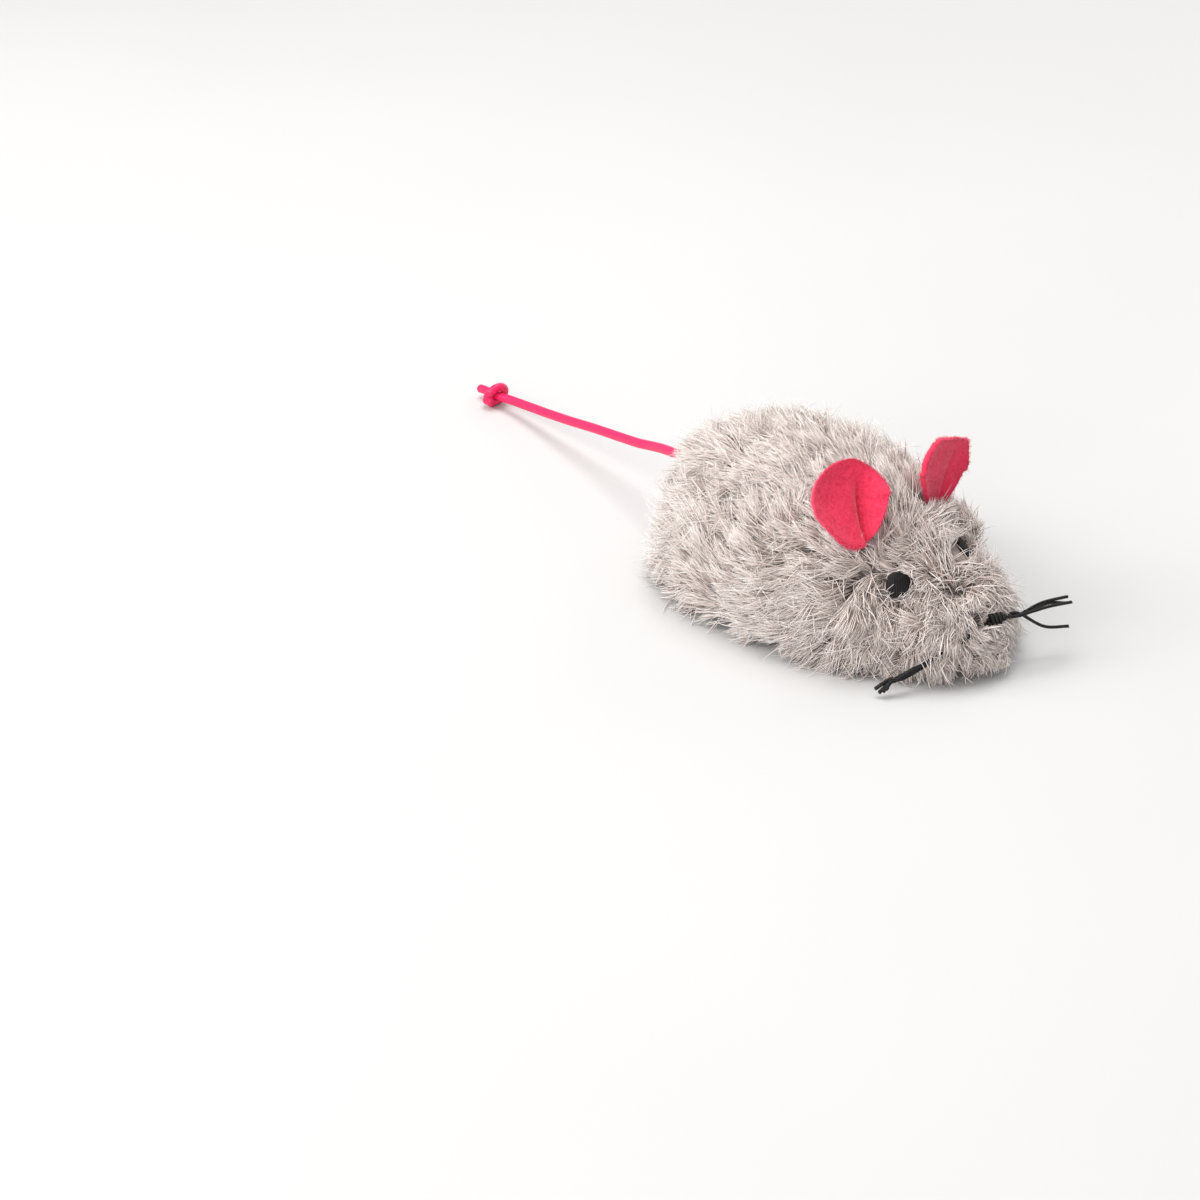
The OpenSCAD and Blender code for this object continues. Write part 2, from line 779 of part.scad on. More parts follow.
// A bent leaf from its rivet on the great wheel to a gap in the ratchet
module click_leaf() {
    color([0.75, 0.76, 0.78])
        sideways(arbor_place, ratchet_y, ratchet_width)
            difference() {
                union() {
                    translate(click_foot) circle(r = 2 * click_rivet_radius);
                    strip(click_foot, click_knee, click_thickness);
                    strip(click_knee, click_tip, click_thickness);
                }
                translate(click_foot) circle(r = click_rivet_radius);
            }
}

module strip(from, to, width) {
    across_it = width / 2 * [-(to - from)[1], (to - from)[0]] / norm(to - from);
    polygon([from - across_it, to - across_it, to + across_it, from + across_it]);
}

module click_rivet() {
    color([0.72, 0.60, 0.30])
        across(arbor_place + click_foot, great_y, great_width + 0.2 + ratchet_width + 0.4, click_rivet_radius);
}

module great_wheel() {
    color([0.78, 0.64, 0.30])
        difference() {
            gear(arbor_place, great_y, great_width, great_teeth, wheel_addendum,
                arbor_radius + running_clearance, great_to_intermediate);
            across(arbor_place + click_foot, great_y - 1, great_width + 2, click_rivet_radius);
        }
}

module intermediate_arbor() {
    color([0.62, 0.62, 0.64])
        across(intermediate_place, -plate_outer_y - shaft_end, 2 * (plate_outer_y + shaft_end),
            intermediate_arbor_radius);
}

module intermediate_pinion() {
    gap_turn = great_to_intermediate + 180 + 180 / pinion_teeth;
    color([0.78, 0.64, 0.30])
        gear(intermediate_place, great_pinion_y, pinion_width, pinion_teeth, pinion_addendum,
            intermediate_arbor_radius, gap_turn);
}

module intermediate_wheel() {
    color([0.78, 0.64, 0.30])
        gear(intermediate_place, intermediate_wheel_y, great_width, intermediate_teeth, wheel_addendum,
            intermediate_arbor_radius, intermediate_to_axle);
}

module drive_axle() {
    color([0.70, 0.71, 0.73])
        across(axle_place, -wheel_outer_y - shaft_end, 2 * (wheel_outer_y + shaft_end), axle_radius);
}

module axle_pinion() {
    gap_turn = intermediate_to_axle + 180 + 180 / pinion_teeth;
    color([0.78, 0.64, 0.30])
        gear(axle_place, axle_pinion_y, pinion_width, pinion_teeth, pinion_addendum, axle_radius, gap_turn);
}

module drive_wheel(y) {
    hub_radius = 2.4;
    web_recess = 0.7;
    web_radius = rim_radius - 1;
    difference() {
        across(axle_place, y, drive_wheel_width, rim_radius);
        across(axle_place, y - 1, drive_wheel_width + 2, axle_radius);
        for (recess_y = [y - 1, y + drive_wheel_width - web_recess])
            difference() {
                across(axle_place, recess_y, web_recess + 1, web_radius);
                across(axle_place, recess_y - 1, web_recess + 3, hub_radius);
            }
    }
}

module drive_wheel_right() {
    color([0.88, 0.88, 0.86]) drive_wheel(-wheel_outer_y);
}

module drive_wheel_left() {
    color([0.88, 0.88, 0.86]) drive_wheel(wheel_inner_y);
}

module tyre(y) {
    difference() {
        across(axle_place, y, drive_wheel_width, drive_wheel_radius);
        across(axle_place, y - 1, drive_wheel_width + 2, rim_radius);
    }
}

module tyre_right() {
    color([0.12, 0.12, 0.12]) tyre(-wheel_outer_y);
}

module tyre_left() {
    color([0.12, 0.12, 0.12]) tyre(wheel_inner_y);
}

// A hub pressed on the arbor, with two round wings that lie level when the spring is down
module winding_key() {
    wing_radius = (key_end - wing_start) / 2;
    wing_x = key_span / 2 - wing_radius;
    wing_y = key_end - wing_radius;
    color([0.85, 0.85, 0.83])
        difference() {
            union() {
                across(arbor_place, key_hub_start, key_hub_end - key_hub_start, key_hub_radius);
                translate([arbor_x, 0, arbor_z - key_thickness / 2])
                    linear_extrude(key_thickness)
                        difference() {
                            union() {
                                for (side = [-1, 1])
                                    translate([side * wing_x, wing_y]) circle(r = wing_radius);
                                translate([-wing_x, wing_start + 0.4])
                                    square([2 * wing_x, key_end - wing_start - 1.6]);
                            }
                            for (side = [-1, 1])
                                translate([side * wing_x, wing_y]) circle(r = wing_radius / 2);
                        }
            }
            across(arbor_place, key_hub_start - 1, key_hub_end - key_hub_start + 0.5, arbor_radius);
        }
}

// ---- Caster ----

module caster_fork() {
    cheek_length = 3.2;
    cheek_bottom = caster_wheel_z;
    color([0.25, 0.25, 0.27])
        difference() {
            union() {
                translate([caster_x, 0, fork_disc_z])
                    cylinder(h = fork_disc_height, r = caster_trail + cheek_length / 2);
                translate([caster_x, 0, fork_disc_z + fork_disc_height / 2])
                    cylinder(h = turret_top + clip_gap + clip_height + 0.4 - fork_disc_z - fork_disc_height / 2,
                        r = caster_pivot_diameter / 2);
                for (y = [-fork_half_width, fork_half_width - fork_cheek]) {
                    translate([caster_x - caster_trail - cheek_length / 2, y, cheek_bottom])
                        cube([cheek_length, fork_cheek, fork_disc_z + fork_disc_height / 2 - cheek_bottom]);
                    across([caster_x - caster_trail, cheek_bottom], y, fork_cheek, cheek_length / 2);
                }
            }
            across([caster_x - caster_trail, caster_wheel_z], -fork_half_width - 1,
                2 * fork_half_width + 2, caster_axle_radius);
        }
}

module caster_clip() {
    color([0.75, 0.76, 0.78])
        translate([caster_x, 0, turret_top + clip_gap])
            difference() {
                cylinder(h = clip_height, r = caster_pivot_diameter / 2 + 1);
                translate([0, 0, -1]) cylinder(h = clip_height + 2, r = caster_pivot_diameter / 2);
            }
}

module caster_wheel() {
    color([0.15, 0.15, 0.15])
        difference() {
            across([caster_x - caster_trail, caster_wheel_z], -caster_wheel_width / 2,
                caster_wheel_width, caster_wheel_radius);
            across([caster_x - caster_trail, caster_wheel_z], -caster_wheel_width,
                2 * caster_wheel_width, caster_axle_radius + running_clearance);
        }
}

module caster_axle() {
    color([0.70, 0.71, 0.73])
        across([caster_x - caster_trail, caster_wheel_z], -fork_half_width, 2 * fork_half_width,
            caster_axle_radius);
}

fur_cover();
ear_right();
ear_left();
eye_right();
eye_left();
whiskers_right();
whiskers_left();
tail_cord();
tail_knot();
upper_shell();
base_plate();
base_screws();
key_eyelet();
motor_plate_right();
motor_plate_left();
frame_pillars();
spring_post();
mainspring();
winding_arbor();
ratchet_wheel();
click_leaf();
click_rivet();
great_wheel();
intermediate_arbor();
intermediate_pinion();
intermediate_wheel();
drive_axle();
axle_pinion();
drive_wheel_right();
drive_wheel_left();
tyre_right();
tyre_left();
winding_key();
caster_fork();
caster_clip();
caster_wheel();
caster_axle();
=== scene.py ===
import json
import math

import bpy
import numpy as np
from mathutils import Matrix, Vector
from mathutils.bvhtree import BVHTree
from mathutils.kdtree import KDTree


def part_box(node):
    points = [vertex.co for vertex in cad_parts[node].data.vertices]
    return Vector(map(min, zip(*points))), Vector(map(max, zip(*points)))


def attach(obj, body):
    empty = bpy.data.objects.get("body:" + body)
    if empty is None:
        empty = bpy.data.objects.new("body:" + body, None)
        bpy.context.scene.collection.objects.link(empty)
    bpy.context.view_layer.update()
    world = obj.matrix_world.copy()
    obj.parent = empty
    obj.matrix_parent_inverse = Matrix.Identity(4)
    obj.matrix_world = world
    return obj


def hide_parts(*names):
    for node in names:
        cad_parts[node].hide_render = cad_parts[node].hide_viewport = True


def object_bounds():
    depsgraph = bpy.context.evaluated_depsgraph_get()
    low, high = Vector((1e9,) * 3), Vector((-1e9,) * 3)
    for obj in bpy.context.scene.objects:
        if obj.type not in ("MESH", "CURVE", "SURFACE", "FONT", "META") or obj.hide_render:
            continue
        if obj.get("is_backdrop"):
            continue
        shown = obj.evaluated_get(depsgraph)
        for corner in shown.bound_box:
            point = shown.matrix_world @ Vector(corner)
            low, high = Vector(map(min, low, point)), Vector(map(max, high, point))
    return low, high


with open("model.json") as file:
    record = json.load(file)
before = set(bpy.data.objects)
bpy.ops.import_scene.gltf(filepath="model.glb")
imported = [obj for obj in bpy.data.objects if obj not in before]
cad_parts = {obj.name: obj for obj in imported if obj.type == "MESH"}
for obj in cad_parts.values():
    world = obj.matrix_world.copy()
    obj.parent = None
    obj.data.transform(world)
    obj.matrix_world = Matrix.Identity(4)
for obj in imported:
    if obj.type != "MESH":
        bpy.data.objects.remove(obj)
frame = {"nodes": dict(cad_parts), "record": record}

CAD_LOW, CAD_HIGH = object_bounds()
MM = 0.001
GROUND = CAD_LOW[2]
SEED = 41


# ---------------------------------------------------------------- helpers

def unit(v):
    """Rows of v at length 1."""
    v = np.asarray(v, float)
    return v / np.maximum(np.linalg.norm(v, axis=-1, keepdims=True), 1e-12)


def new_mesh(name, verts, faces, material, smooth=True):
    """A mesh object from numpy vertices and a list of faces, with one material."""
    mesh = bpy.data.meshes.new(name)
    mesh.from_pydata([tuple(v) for v in verts], [], [tuple(f) for f in faces])
    mesh.polygons.foreach_set("use_smooth", [smooth] * len(mesh.polygons))
    mesh.materials.append(material)
    mesh.update()
    obj = bpy.data.objects.new(name, mesh)
    bpy.context.scene.collection.objects.link(obj)
    return obj


def node_mesh(name):
    """Merged vertices and triangles of a CAD node, as numpy arrays."""
    mesh = frame["nodes"][name].data
    mesh.calc_loop_triangles()
    verts = np.empty(len(mesh.vertices) * 3)
    mesh.vertices.foreach_get("co", verts)
    tris = np.empty(len(mesh.loop_triangles) * 3, dtype=np.int64)
    mesh.loop_triangles.foreach_get("vertices", tris)
    verts = verts.reshape(-1, 3)
    _, first, inverse = np.unique(np.round(verts, 6), axis=0, return_index=True, return_inverse=True)
    return verts[first], inverse.reshape(-1)[tris].reshape(-1, 3)


def wave_noise(points, scale, seed):
    """Smooth noise in about -1 to 1 at points, from a few sine waves of about that wavelength."""
    rng = np.random.default_rng(seed)
    total = np.zeros(len(points))
    for _ in range(7):
        direction = unit(rng.normal(size=3))
        wavelength = scale * rng.uniform(0.6, 1.6)
        total += np.sin(points @ direction * 2 * math.pi / wavelength + rng.uniform(0, 2 * math.pi))
    return total / 2.7


# ---------------------------------------------------------------- materials

def principled(name, color=(0.8, 0.8, 0.8), roughness=0.5, **sockets):
    """A material with one Principled shader, and its node tree."""
    material = bpy.data.materials.new(name)
    material.use_nodes = True
    tree = material.node_tree
    shader = tree.nodes["Principled BSDF"]
    shader.inputs["Base Color"].default_value = (*color, 1)
    shader.inputs["Roughness"].default_value = roughness
    for socket, value in sockets.items():
        shader.inputs[socket.replace("_", " ")].default_value = value
    return material, tree, shader


def ramp(tree, stops, source):
    """A colour ramp fed by a socket. stops are (position, colour)."""
    node = tree.nodes.new("ShaderNodeValToRGB")
    elements = node.color_ramp.elements
    while len(elements) < len(stops):
        elements.new(0.5)
    for element, (position, color) in zip(elements, stops):
        element.position = position
        element.color = (*color, 1)
    tree.links.new(source, node.inputs["Fac"])
    return node.outputs["Color"]


def noise(tree, scale, detail=3.0, roughness=0.5, stretch=None):
    """A noise value over the object's own coordinates, stretched along its axes if asked."""
    coords = tree.nodes.new("ShaderNodeTexCoord")
    mapping = tree.nodes.new("ShaderNodeMapping")
    mapping.inputs["Scale"].default_value = stretch or (1, 1, 1)
    node = tree.nodes.new("ShaderNodeTexNoise")
    node.inputs["Scale"].default_value = scale
    node.inputs["Detail"].default_value = detail
    node.inputs["Roughness"].default_value = roughness
    tree.links.new(coords.outputs["Object"], mapping.inputs["Vector"])
    tree.links.new(mapping.outputs["Vector"], node.inputs["Vector"])
    return node.outputs["Fac"]


def bump(tree, shader, height, distance):
    """Feeds a bump of that height, in metres, to the shader."""
    node = tree.nodes.new("ShaderNodeBump")
    node.inputs["Distance"].default_value = distance
    node.inputs["Strength"].default_value = 1
    tree.links.new(height, node.inputs["Height"])
    tree.links.new(node.outputs["Normal"], shader.inputs["Normal"])


def attribute(tree, name):
    """Value of a mesh attribute."""
    node = tree.nodes.new("ShaderNodeAttribute")
    node.attribute_name = name
    return node.outputs["Fac"]


def multiply(tree, a, b):
    """Product of two colours."""
    node = tree.nodes.new("ShaderNodeMix")
    node.data_type = "RGBA"
    node.blend_type = "MULTIPLY"
    node.inputs["Factor"].default_value = 1
    tree.links.new(a, node.inputs["A"])
    tree.links.new(b, node.inputs["B"])
    return node.outputs["Result"]


def fur_material():
    """Silver-grey synthetic pile, each fibre its own tone: darker and warmer towards the root as painted
    shade deep in the pile, and paler towards the tip as painted light.
    """
    material, tree, shader = principled("fur_pile", roughness=0.32)
    shader.inputs["Specular IOR Level"].default_value = 0.6
    shader.inputs["Sheen Weight"].default_value = 0.3
    shader.inputs["Sheen Roughness"].default_value = 0.35
    # Ramp along the strand: the dark root colour is painted shade deep in the pile, and the pale tip colour
    # is painted light scattered among the fibres.
    along = ramp(tree, [(0.0, (0.37, 0.285, 0.25)), (0.45, (0.80, 0.70, 0.655)), (1.0, (0.97, 0.90, 0.865))],
                 attribute(tree, "along"))
    tone = ramp(tree, [(0.0, (0.50, 0.45, 0.43)), (0.4, (0.83, 0.80, 0.785)), (1.0, (1.0, 1.0, 1.0))],
                attribute(tree, "tone"))
    tree.links.new(multiply(tree, along, tone), shader.inputs["Base Color"])
    return material


def backing_material():
    """Knitted backing of the plush, seen only deep between the tufts, coloured dark like the fibre roots as
    painted shade.
    """
    material, tree, shader = principled("fur_backing", roughness=0.9)
    knit = noise(tree, 900, detail=2)
    # The dark knit colour is painted shade deep between the tufts.
    tree.links.new(ramp(tree, [(0.3, (0.30, 0.25, 0.23)), (0.7, (0.46, 0.39, 0.36))], knit),
                   shader.inputs["Base Color"])
    bump(tree, shader, knit, 0.0003)
    return material


def felt_material():
    """Pressed pink craft felt: mottled fibres, soft and quite matt."""
    material, tree, shader = principled("pink_felt", roughness=0.85)
    shader.inputs["Specular IOR Level"].default_value = 0.2
    shader.inputs["Sheen Weight"].default_value = 0.5
    shader.inputs["Sheen Roughness"].default_value = 0.5
    shader.inputs["Sheen Tint"].default_value = (1.0, 0.55, 0.62, 1)
    fibres = noise(tree, 1500, detail=5, roughness=0.65)
    patches = noise(tree, 260, detail=3)
    fine = ramp(tree, [(0.32, (0.68, 0.018, 0.065)), (0.7, (0.92, 0.05, 0.13))], fibres)
    broad = ramp(tree, [(0.3, (0.86, 0.80, 0.80)), (0.7, (1, 1, 1))], patches)
    tree.links.new(multiply(tree, fine, broad), shader.inputs["Base Color"])
    bump(tree, shader, fibres, 0.00018)
    return material


def felt_fuzz_material():
    """Loose fibres on the felt."""
    material, tree, shader = principled("felt_fuzz", (0.9, 0.09, 0.2), roughness=0.7)
    tone = ramp(tree, [(0.0, (0.66, 0.03, 0.09)), (1.0, (0.96, 0.16, 0.28))], attribute(tree, "tone"))
    tree.links.new(tone, shader.inputs["Base Color"])
    return material


def eye_material():
    """Black satin stitches."""
    material, tree, shader = principled("eye_stitches", (0.005, 0.004, 0.004), roughness=0.45)
    shader.inputs["Specular IOR Level"].default_value = 0.25
    tree.links.new(ramp(tree, [(0.3, (0.002, 0.0015, 0.0015)), (0.75, (0.010, 0.008, 0.008))],
                        noise(tree, 1400, detail=3)), shader.inputs["Base Color"])
    return material


def thread_material():
    """Black twisted thread with a little lustre."""
    material, tree, shader = principled("black_thread", (0.006, 0.005, 0.005), roughness=0.5)
    shader.inputs["Specular IOR Level"].default_value = 0.3
    fibres = noise(tree, 2200, detail=4)
    tree.links.new(ramp(tree, [(0.3, (0.003, 0.0025, 0.0025)), (0.75, (0.014, 0.012, 0.012))], fibres),
                   shader.inputs["Base Color"])
    bump(tree, shader, fibres, 0.00006)
    return material


def tail_material():
    """Hot pink braided elastic, darker where the braid sinks in, as painted shade in its grooves."""
    material, tree, shader = principled("pink_elastic", (0.93, 0.05, 0.17), roughness=0.42)
    shader.inputs["Specular IOR Level"].default_value = 0.35
    braid = attribute(tree, "braid")
    # Low braid values are the sunken grooves, and their dark colour is painted shade.
    stops = [(0.0, (0.54, 0.006, 0.055)), (0.55, (0.79, 0.012, 0.105)), (1.0, (0.85, 0.025, 0.13))]
    tree.links.new(ramp(tree, stops, braid), shader.inputs["Base Color"])
    return material


def plastic_material(name, color, roughness, grain=0.00002):
    """Moulded plastic with a fine mould grain and faint handling marks."""
    material, tree, shader = principled(name, color, roughness)
    low = tuple(c * 0.86 for c in color)
    marks = ramp(tree, [(0.3, low), (0.65, color)], noise(tree, 90, detail=4))
    tree.links.new(marks, shader.inputs["Base Color"])
    bump(tree, shader, noise(tree, 2600, detail=2), grain)
    return material


def metal_material(name, color, roughness, stretch):
    """Stamped or turned metal: drawn grain, with slightly duller patches."""
    material, tree, shader = principled(name, color, roughness, Metallic=1.0)
    grain = noise(tree, 700, detail=3, stretch=stretch)
    low = tuple(c * 0.72 for c in color)
    tree.links.new(ramp(tree, [(0.3, low), (0.7, color)], grain), shader.inputs["Base Color"])
    bump(tree, shader, grain, 0.00001)
    return material


def rubber_material():
    """Black tyre rubber, dusty."""
    material, tree, shader = principled("tyre_rubber", (0.03, 0.03, 0.03), roughness=0.75)
    dust = noise(tree, 300, detail=5)
    tree.links.new(ramp(tree, [(0.35, (0.018, 0.018, 0.018)), (0.8, (0.07, 0.068, 0.065))], dust),
                   shader.inputs["Base Color"])
    bump(tree, shader, noise(tree, 1800, detail=3), 0.00003)
    return material


# ---------------------------------------------------------------- camera

CAMERA_AZIMUTH = math.radians(44)
CAMERA_ELEVATION = math.radians(30)
CAMERA_DISTANCE = 0.56
CAMERA_LENS = 85
LEFT_OF_GROUND_CENTRE = 0.04704
ABOVE_GROUND_CENTRE = 0.0004


def make_camera():
    """The camera looks down at the mouse's right side. It stands to the left of the point that it faces."""
    back = Vector((math.sin(CAMERA_AZIMUTH) * math.cos(CAMERA_ELEVATION),
                   -math.cos(CAMERA_AZIMUTH) * math.cos(CAMERA_ELEVATION),
                   math.sin(CAMERA_ELEVATION)))
    right = Vector((math.cos(CAMERA_AZIMUTH), math.sin(CAMERA_AZIMUTH), 0))
    up = back.cross(right)
    place = back * CAMERA_DISTANCE - right * LEFT_OF_GROUND_CENTRE + up * ABOVE_GROUND_CENTRE
    place.z += GROUND
    data = bpy.data.cameras.new("camera")
    data.lens = CAMERA_LENS
    data.clip_start = 0.01
    camera = bpy.data.objects.new("camera", data)
    camera.matrix_world = Matrix((
        (right.x, up.x, back.x, place.x), (right.y, up.y, back.y, place.y),
        (right.z, up.z, back.z, place.z), (0, 0, 0, 1)))
    bpy.context.scene.collection.objects.link(camera)
    bpy.context.scene.camera = camera


# ---------------------------------------------------------------- tubes

def smooth_route(points, spacing):
    """A smooth curve through points (Catmull-Rom), resampled at about that spacing."""
    p = np.asarray(points, float)
    p = np.vstack([2 * p[0] - p[1], p, 2 * p[-1] - p[-2]])
    out = []
    for i in range(1, len(p) - 2):
        for t in np.linspace(0, 1, 12, endpoint=False):
            out.append(0.5 * (2 * p[i] + (p[i + 1] - p[i - 1]) * t
                              + (2 * p[i - 1] - 5 * p[i] + 4 * p[i + 1] - p[i + 2]) * t ** 2
                              + (3 * p[i] - p[i - 1] - 3 * p[i + 1] + p[i + 2]) * t ** 3))
    out.append(p[-2])
    out = np.array(out)
    run = np.concatenate([[0], np.cumsum(np.linalg.norm(np.diff(out, axis=0), axis=1))])
    count = max(3, int(round(run[-1] / spacing)) + 1)
    at = np.linspace(0, run[-1], count)
    return np.stack([np.interp(at, run, out[:, k]) for k in range(3)], -1)


def frames_along(path):
    """Unit tangent, side and up at each point of a path, carried along without twist."""
    tangent = unit(np.gradient(path, axis=0))
    side = np.empty_like(path)
    first = np.cross([0, 0, 1], tangent[0])
    side[0] = unit(first if np.linalg.norm(first) > 1e-3 else np.array([1.0, 0, 0]))
    for i in range(1, len(path)):
        s = side[i - 1] - tangent[i] * (side[i - 1] @ tangent[i])
        side[i] = unit(s)
    return tangent, side, np.cross(tangent, side)


def tube(path, radius, sides):
    """Vertices and faces of a tube. radius is a number, or an array of rings by sides. Ends are closed."""
    _, side, up = frames_along(path)
    angle = np.linspace(0, 2 * math.pi, sides, endpoint=False)
    radius = np.broadcast_to(np.asarray(radius, float), (len(path), sides))
    ring = (np.cos(angle)[None, :, None] * side[:, None] + np.sin(angle)[None, :, None] * up[:, None])
    verts = (path[:, None] + radius[:, :, None] * ring).reshape(-1, 3)
    faces = [
        (i * sides + k, i * sides + (k + 1) % sides, (i + 1) * sides + (k + 1) % sides, (i + 1) * sides + k)
        for i in range(len(path) - 1) for k in range(sides)
    ]
    faces.append(tuple(range(sides - 1, -1, -1)))
    faces.append(tuple((len(path) - 1) * sides + k for k in range(sides)))
    return verts, faces


def joined(parts):
    """One vertex array and face list from several."""
    verts, faces, start = [], [], 0
    for v, f in parts:
        verts.append(v)
        faces += [tuple(i + start for i in face) for face in f]
        start += len(v)
    return np.vstack(verts), faces


def set_attribute(obj, name, values):
    """Writes one number for each vertex."""
    layer = obj.data.attributes.new(name, "FLOAT", "POINT")
    layer.data.foreach_set("value", np.asarray(values, dtype=np.float32))


# ---------------------------------------------------------------- tail

TAIL_DIAMETER = 2 * MM
BRAID_PITCH = 0.9 * MM
BRAID_STRANDS = 4          # lobes of each of the two crossing helices
KNOT_RADIUS = 2.7 * MM     # of the CAD's ball
KNOT_HEIGHT = 2.75 * MM    # of the knot's middle above the ground
KNOT_TURNS = 17            # points round the knot's loop
TAIL_ROUTE = np.array([
    [-35, -4.2, 16.9], [-38.5, -2.9, 16.3], [-42, -1.6, 15.4], [-45.5, -0.2, 14.4], [-49.5, 1.4, 13.1],
    [-53.5, 2.8, 11.7], [-58, 4, 10.3], [-62.5, 5.3, 9.1], [-67, 6.5, 8], [-71.5, 7.6, 7],
    [-76, 8.6, 6], [-80.5, 9.5, 5], [-85, 10.4, 4], [-89.5, 11.3, 3.1], [-94, 12.2, 2.2],
    [-98.5, 13.1, 1.4], [-102.5, 13.8, 0.7], [-106, 14.3, 0.2], [-109.2, 14.5, -0.2]]) * MM


def braided(path, radius, material, name):
    """An elastic cord: a tube whose woven cover stands out in a fine diamond braid."""
    sides = 24
    run = np.concatenate([[0], np.cumsum(np.linalg.norm(np.diff(path, axis=0), axis=1))])
    angle = np.linspace(0, 2 * math.pi, sides, endpoint=False)
    a = np.sin(BRAID_STRANDS * angle[None] + run[:, None] * 2 * math.pi / BRAID_PITCH)
    b = np.sin(BRAID_STRANDS * angle[None] - run[:, None] * 2 * math.pi / BRAID_PITCH)
    braid = 0.5 + 0.25 * (a + b)
    verts, faces = tube(path, radius * (0.985 + 0.03 * braid), sides)
    obj = new_mesh(name, verts, faces, material)
    # The braid height also sets the colour, which darkens the grooves as painted shade.
    set_attribute(obj, "braid", braid.reshape(-1))
    return obj


def make_tail():
    """The tail's cord from the rump to its knot, and the knot with its free end."""
    material = tail_material()
    path = smooth_route(TAIL_ROUTE, 0.15 * MM)
    cord = braided(path, TAIL_DIAMETER / 2, material, "tail_cord_braid")

    high = np.array(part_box("tail_knot")[1])
    end = TAIL_ROUTE[-1]
    along = unit(np.array([end[0] - TAIL_ROUTE[-3][0], end[1] - TAIL_ROUTE[-3][1], 0]))
    side = np.array([-along[1], along[0], 0])
    up = np.array([0.0, 0.0, 1.0])
    centre = np.array([high[0] - KNOT_RADIUS, high[1] - KNOT_RADIUS, GROUND + KNOT_HEIGHT])

    def knot_points(a, b, c):
        """Points a along the cord, b to its side and c up from the knot's middle, in mm."""
        return centre + MM * (np.multiply.outer(np.asarray(a), along) + np.multiply.outer(np.asarray(b), side)
                              + np.multiply.outer(np.asarray(c), up))

    turn = np.radians(np.linspace(130, -250, KNOT_TURNS))
    entry = knot_points([-0.9, 0.5], [0.0, 0.3], [0.0, -0.2])
    drift = np.linspace(0.7, -0.4, KNOT_TURNS)
    ring = knot_points(-0.9 * np.cos(turn) + drift, 2.15 * np.sin(turn), 2.05 * np.cos(turn))
    free = knot_points([1.2, 2.8, 4.6, 6.4], [0.8, 0.1, -0.2, -0.4], [-0.5, -0.3, -0.5, -0.9])
    knot_path = smooth_route(np.vstack([[end - along * 0.2 * MM], entry, ring, free]), 0.2 * MM)
    knot_path[:, 2] = np.maximum(knot_path[:, 2], GROUND + 1.0 * MM)
    knot_obj = braided(knot_path, TAIL_DIAMETER / 2 * 0.96, material, "tail_knot_loops")

    for piece, node in ((cord, "tail_cord"), (knot_obj, "tail_knot")):
        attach(piece, "root")
        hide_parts(node)


# ---------------------------------------------------------------- body surface

def split_cover():
    """Outer and inner triangles of the CAD fur cover, and its merged vertices."""
    verts, tris = node_mesh("fur_cover")
    corners = verts[tris]
    normal = unit(np.cross(corners[:, 1] - corners[:, 0], corners[:, 2] - corners[:, 0]))
    centre = corners.mean(axis=1)
    spine = centre * [0.8, 0, 0]
    low = verts[:, 2].min()
    flat = (normal[:, 2] < -0.95) & (centre[:, 2] < low + 0.0003)
    outward = ((centre - spine) * normal).sum(axis=1) > 0
    return verts, tris[outward & ~flat], tris[~outward & ~flat]


class Body:
    """The furry body's outer surface, with smooth normals, and the shell's surface under it."""

    def __init__(self):
        verts, outer, inner = split_cover()
        self.verts, self.outer = verts, outer
        corners = verts[outer]
        face_normal = np.cross(corners[:, 1] - corners[:, 0], corners[:, 2] - corners[:, 0])
        normal = np.zeros_like(verts)
        for k in range(3):
            np.add.at(normal, outer[:, k], face_normal)
        self.normal = unit(normal)
        self.area = np.linalg.norm(face_normal, axis=1) / 2
        self.shell = BVHTree.FromPolygons([tuple(v) for v in verts], [tuple(f) for f in inner])

    def sample(self, count, rng):
        """Random points of the outer surface, evenly spread, and their normals."""
        face = rng.choice(len(self.outer), size=count, p=self.area / self.area.sum())
        a, b = rng.random((2, count))
        flip = a + b > 1
        a[flip], b[flip] = 1 - a[flip], 1 - b[flip]
        weight = np.stack([1 - a - b, a, b], -1)[:, :, None]
        corner = self.outer[face]
        return (self.verts[corner] * weight).sum(1), unit((self.normal[corner] * weight).sum(1))

    def under(self, points, share):
        """Points a share of the way from the outer surface in to the shell."""
        near = np.array([self.shell.find_nearest(Vector(p))[0] for p in points])
        return points + (near - points) * share


# ---------------------------------------------------------------- face places
# Where there is one of a thing on each side, -1 is the mouse's right and 1 its left.

EYE_FACING = (0.60, 0.50, 0.62)
EYE_RADIUS = 2.45 * MM
EYE_SHIFT = {-1: (0.7, -0.6, 0.75), 1: (-0.1, -1.0, -0.1)}
OVER_FOREHEAD = np.array([0.51, -0.71, 0.48])      # the far side of the face is seen along this
WHISKER_TIPS = {-1: [(29.6, -21.6, -1.0), (27.6, -22.4, -1.3), (28.4, -22.2, -1.9), (29.0, -21.8, -1.6)],
                1: [(44.0, 15.6, 8.2), (42.4, 16.5, 8.4), (42.0, 17.0, 6.6), (44.2, 15.0, 3.2)]}


def facing(side, direction):
    """A direction given for the left side, turned to the side asked for."""
    return unit(np.array([direction[0], side * direction[1], direction[2]]))


def box_middle(node):
    """Middle of a CAD node's box."""
    low, high = (np.array(c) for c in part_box(node))
    return (low + high) / 2


def eye_place(side):
    """Centre of an eye, about its CAD disc's place, and the way that it faces."""
    face = facing(side, EYE_FACING)
    return box_middle("eye_right" if side < 0 else "eye_left") + np.array(EYE_SHIFT[side]) * MM, face


KEY_JOINT = next(j for j in frame["record"]["behaviour"]["joints"] if j["name"] == "key_turn")
KEY_AXIS = np.array(KEY_JOINT["pos_m"])


# ---------------------------------------------------------------- fur

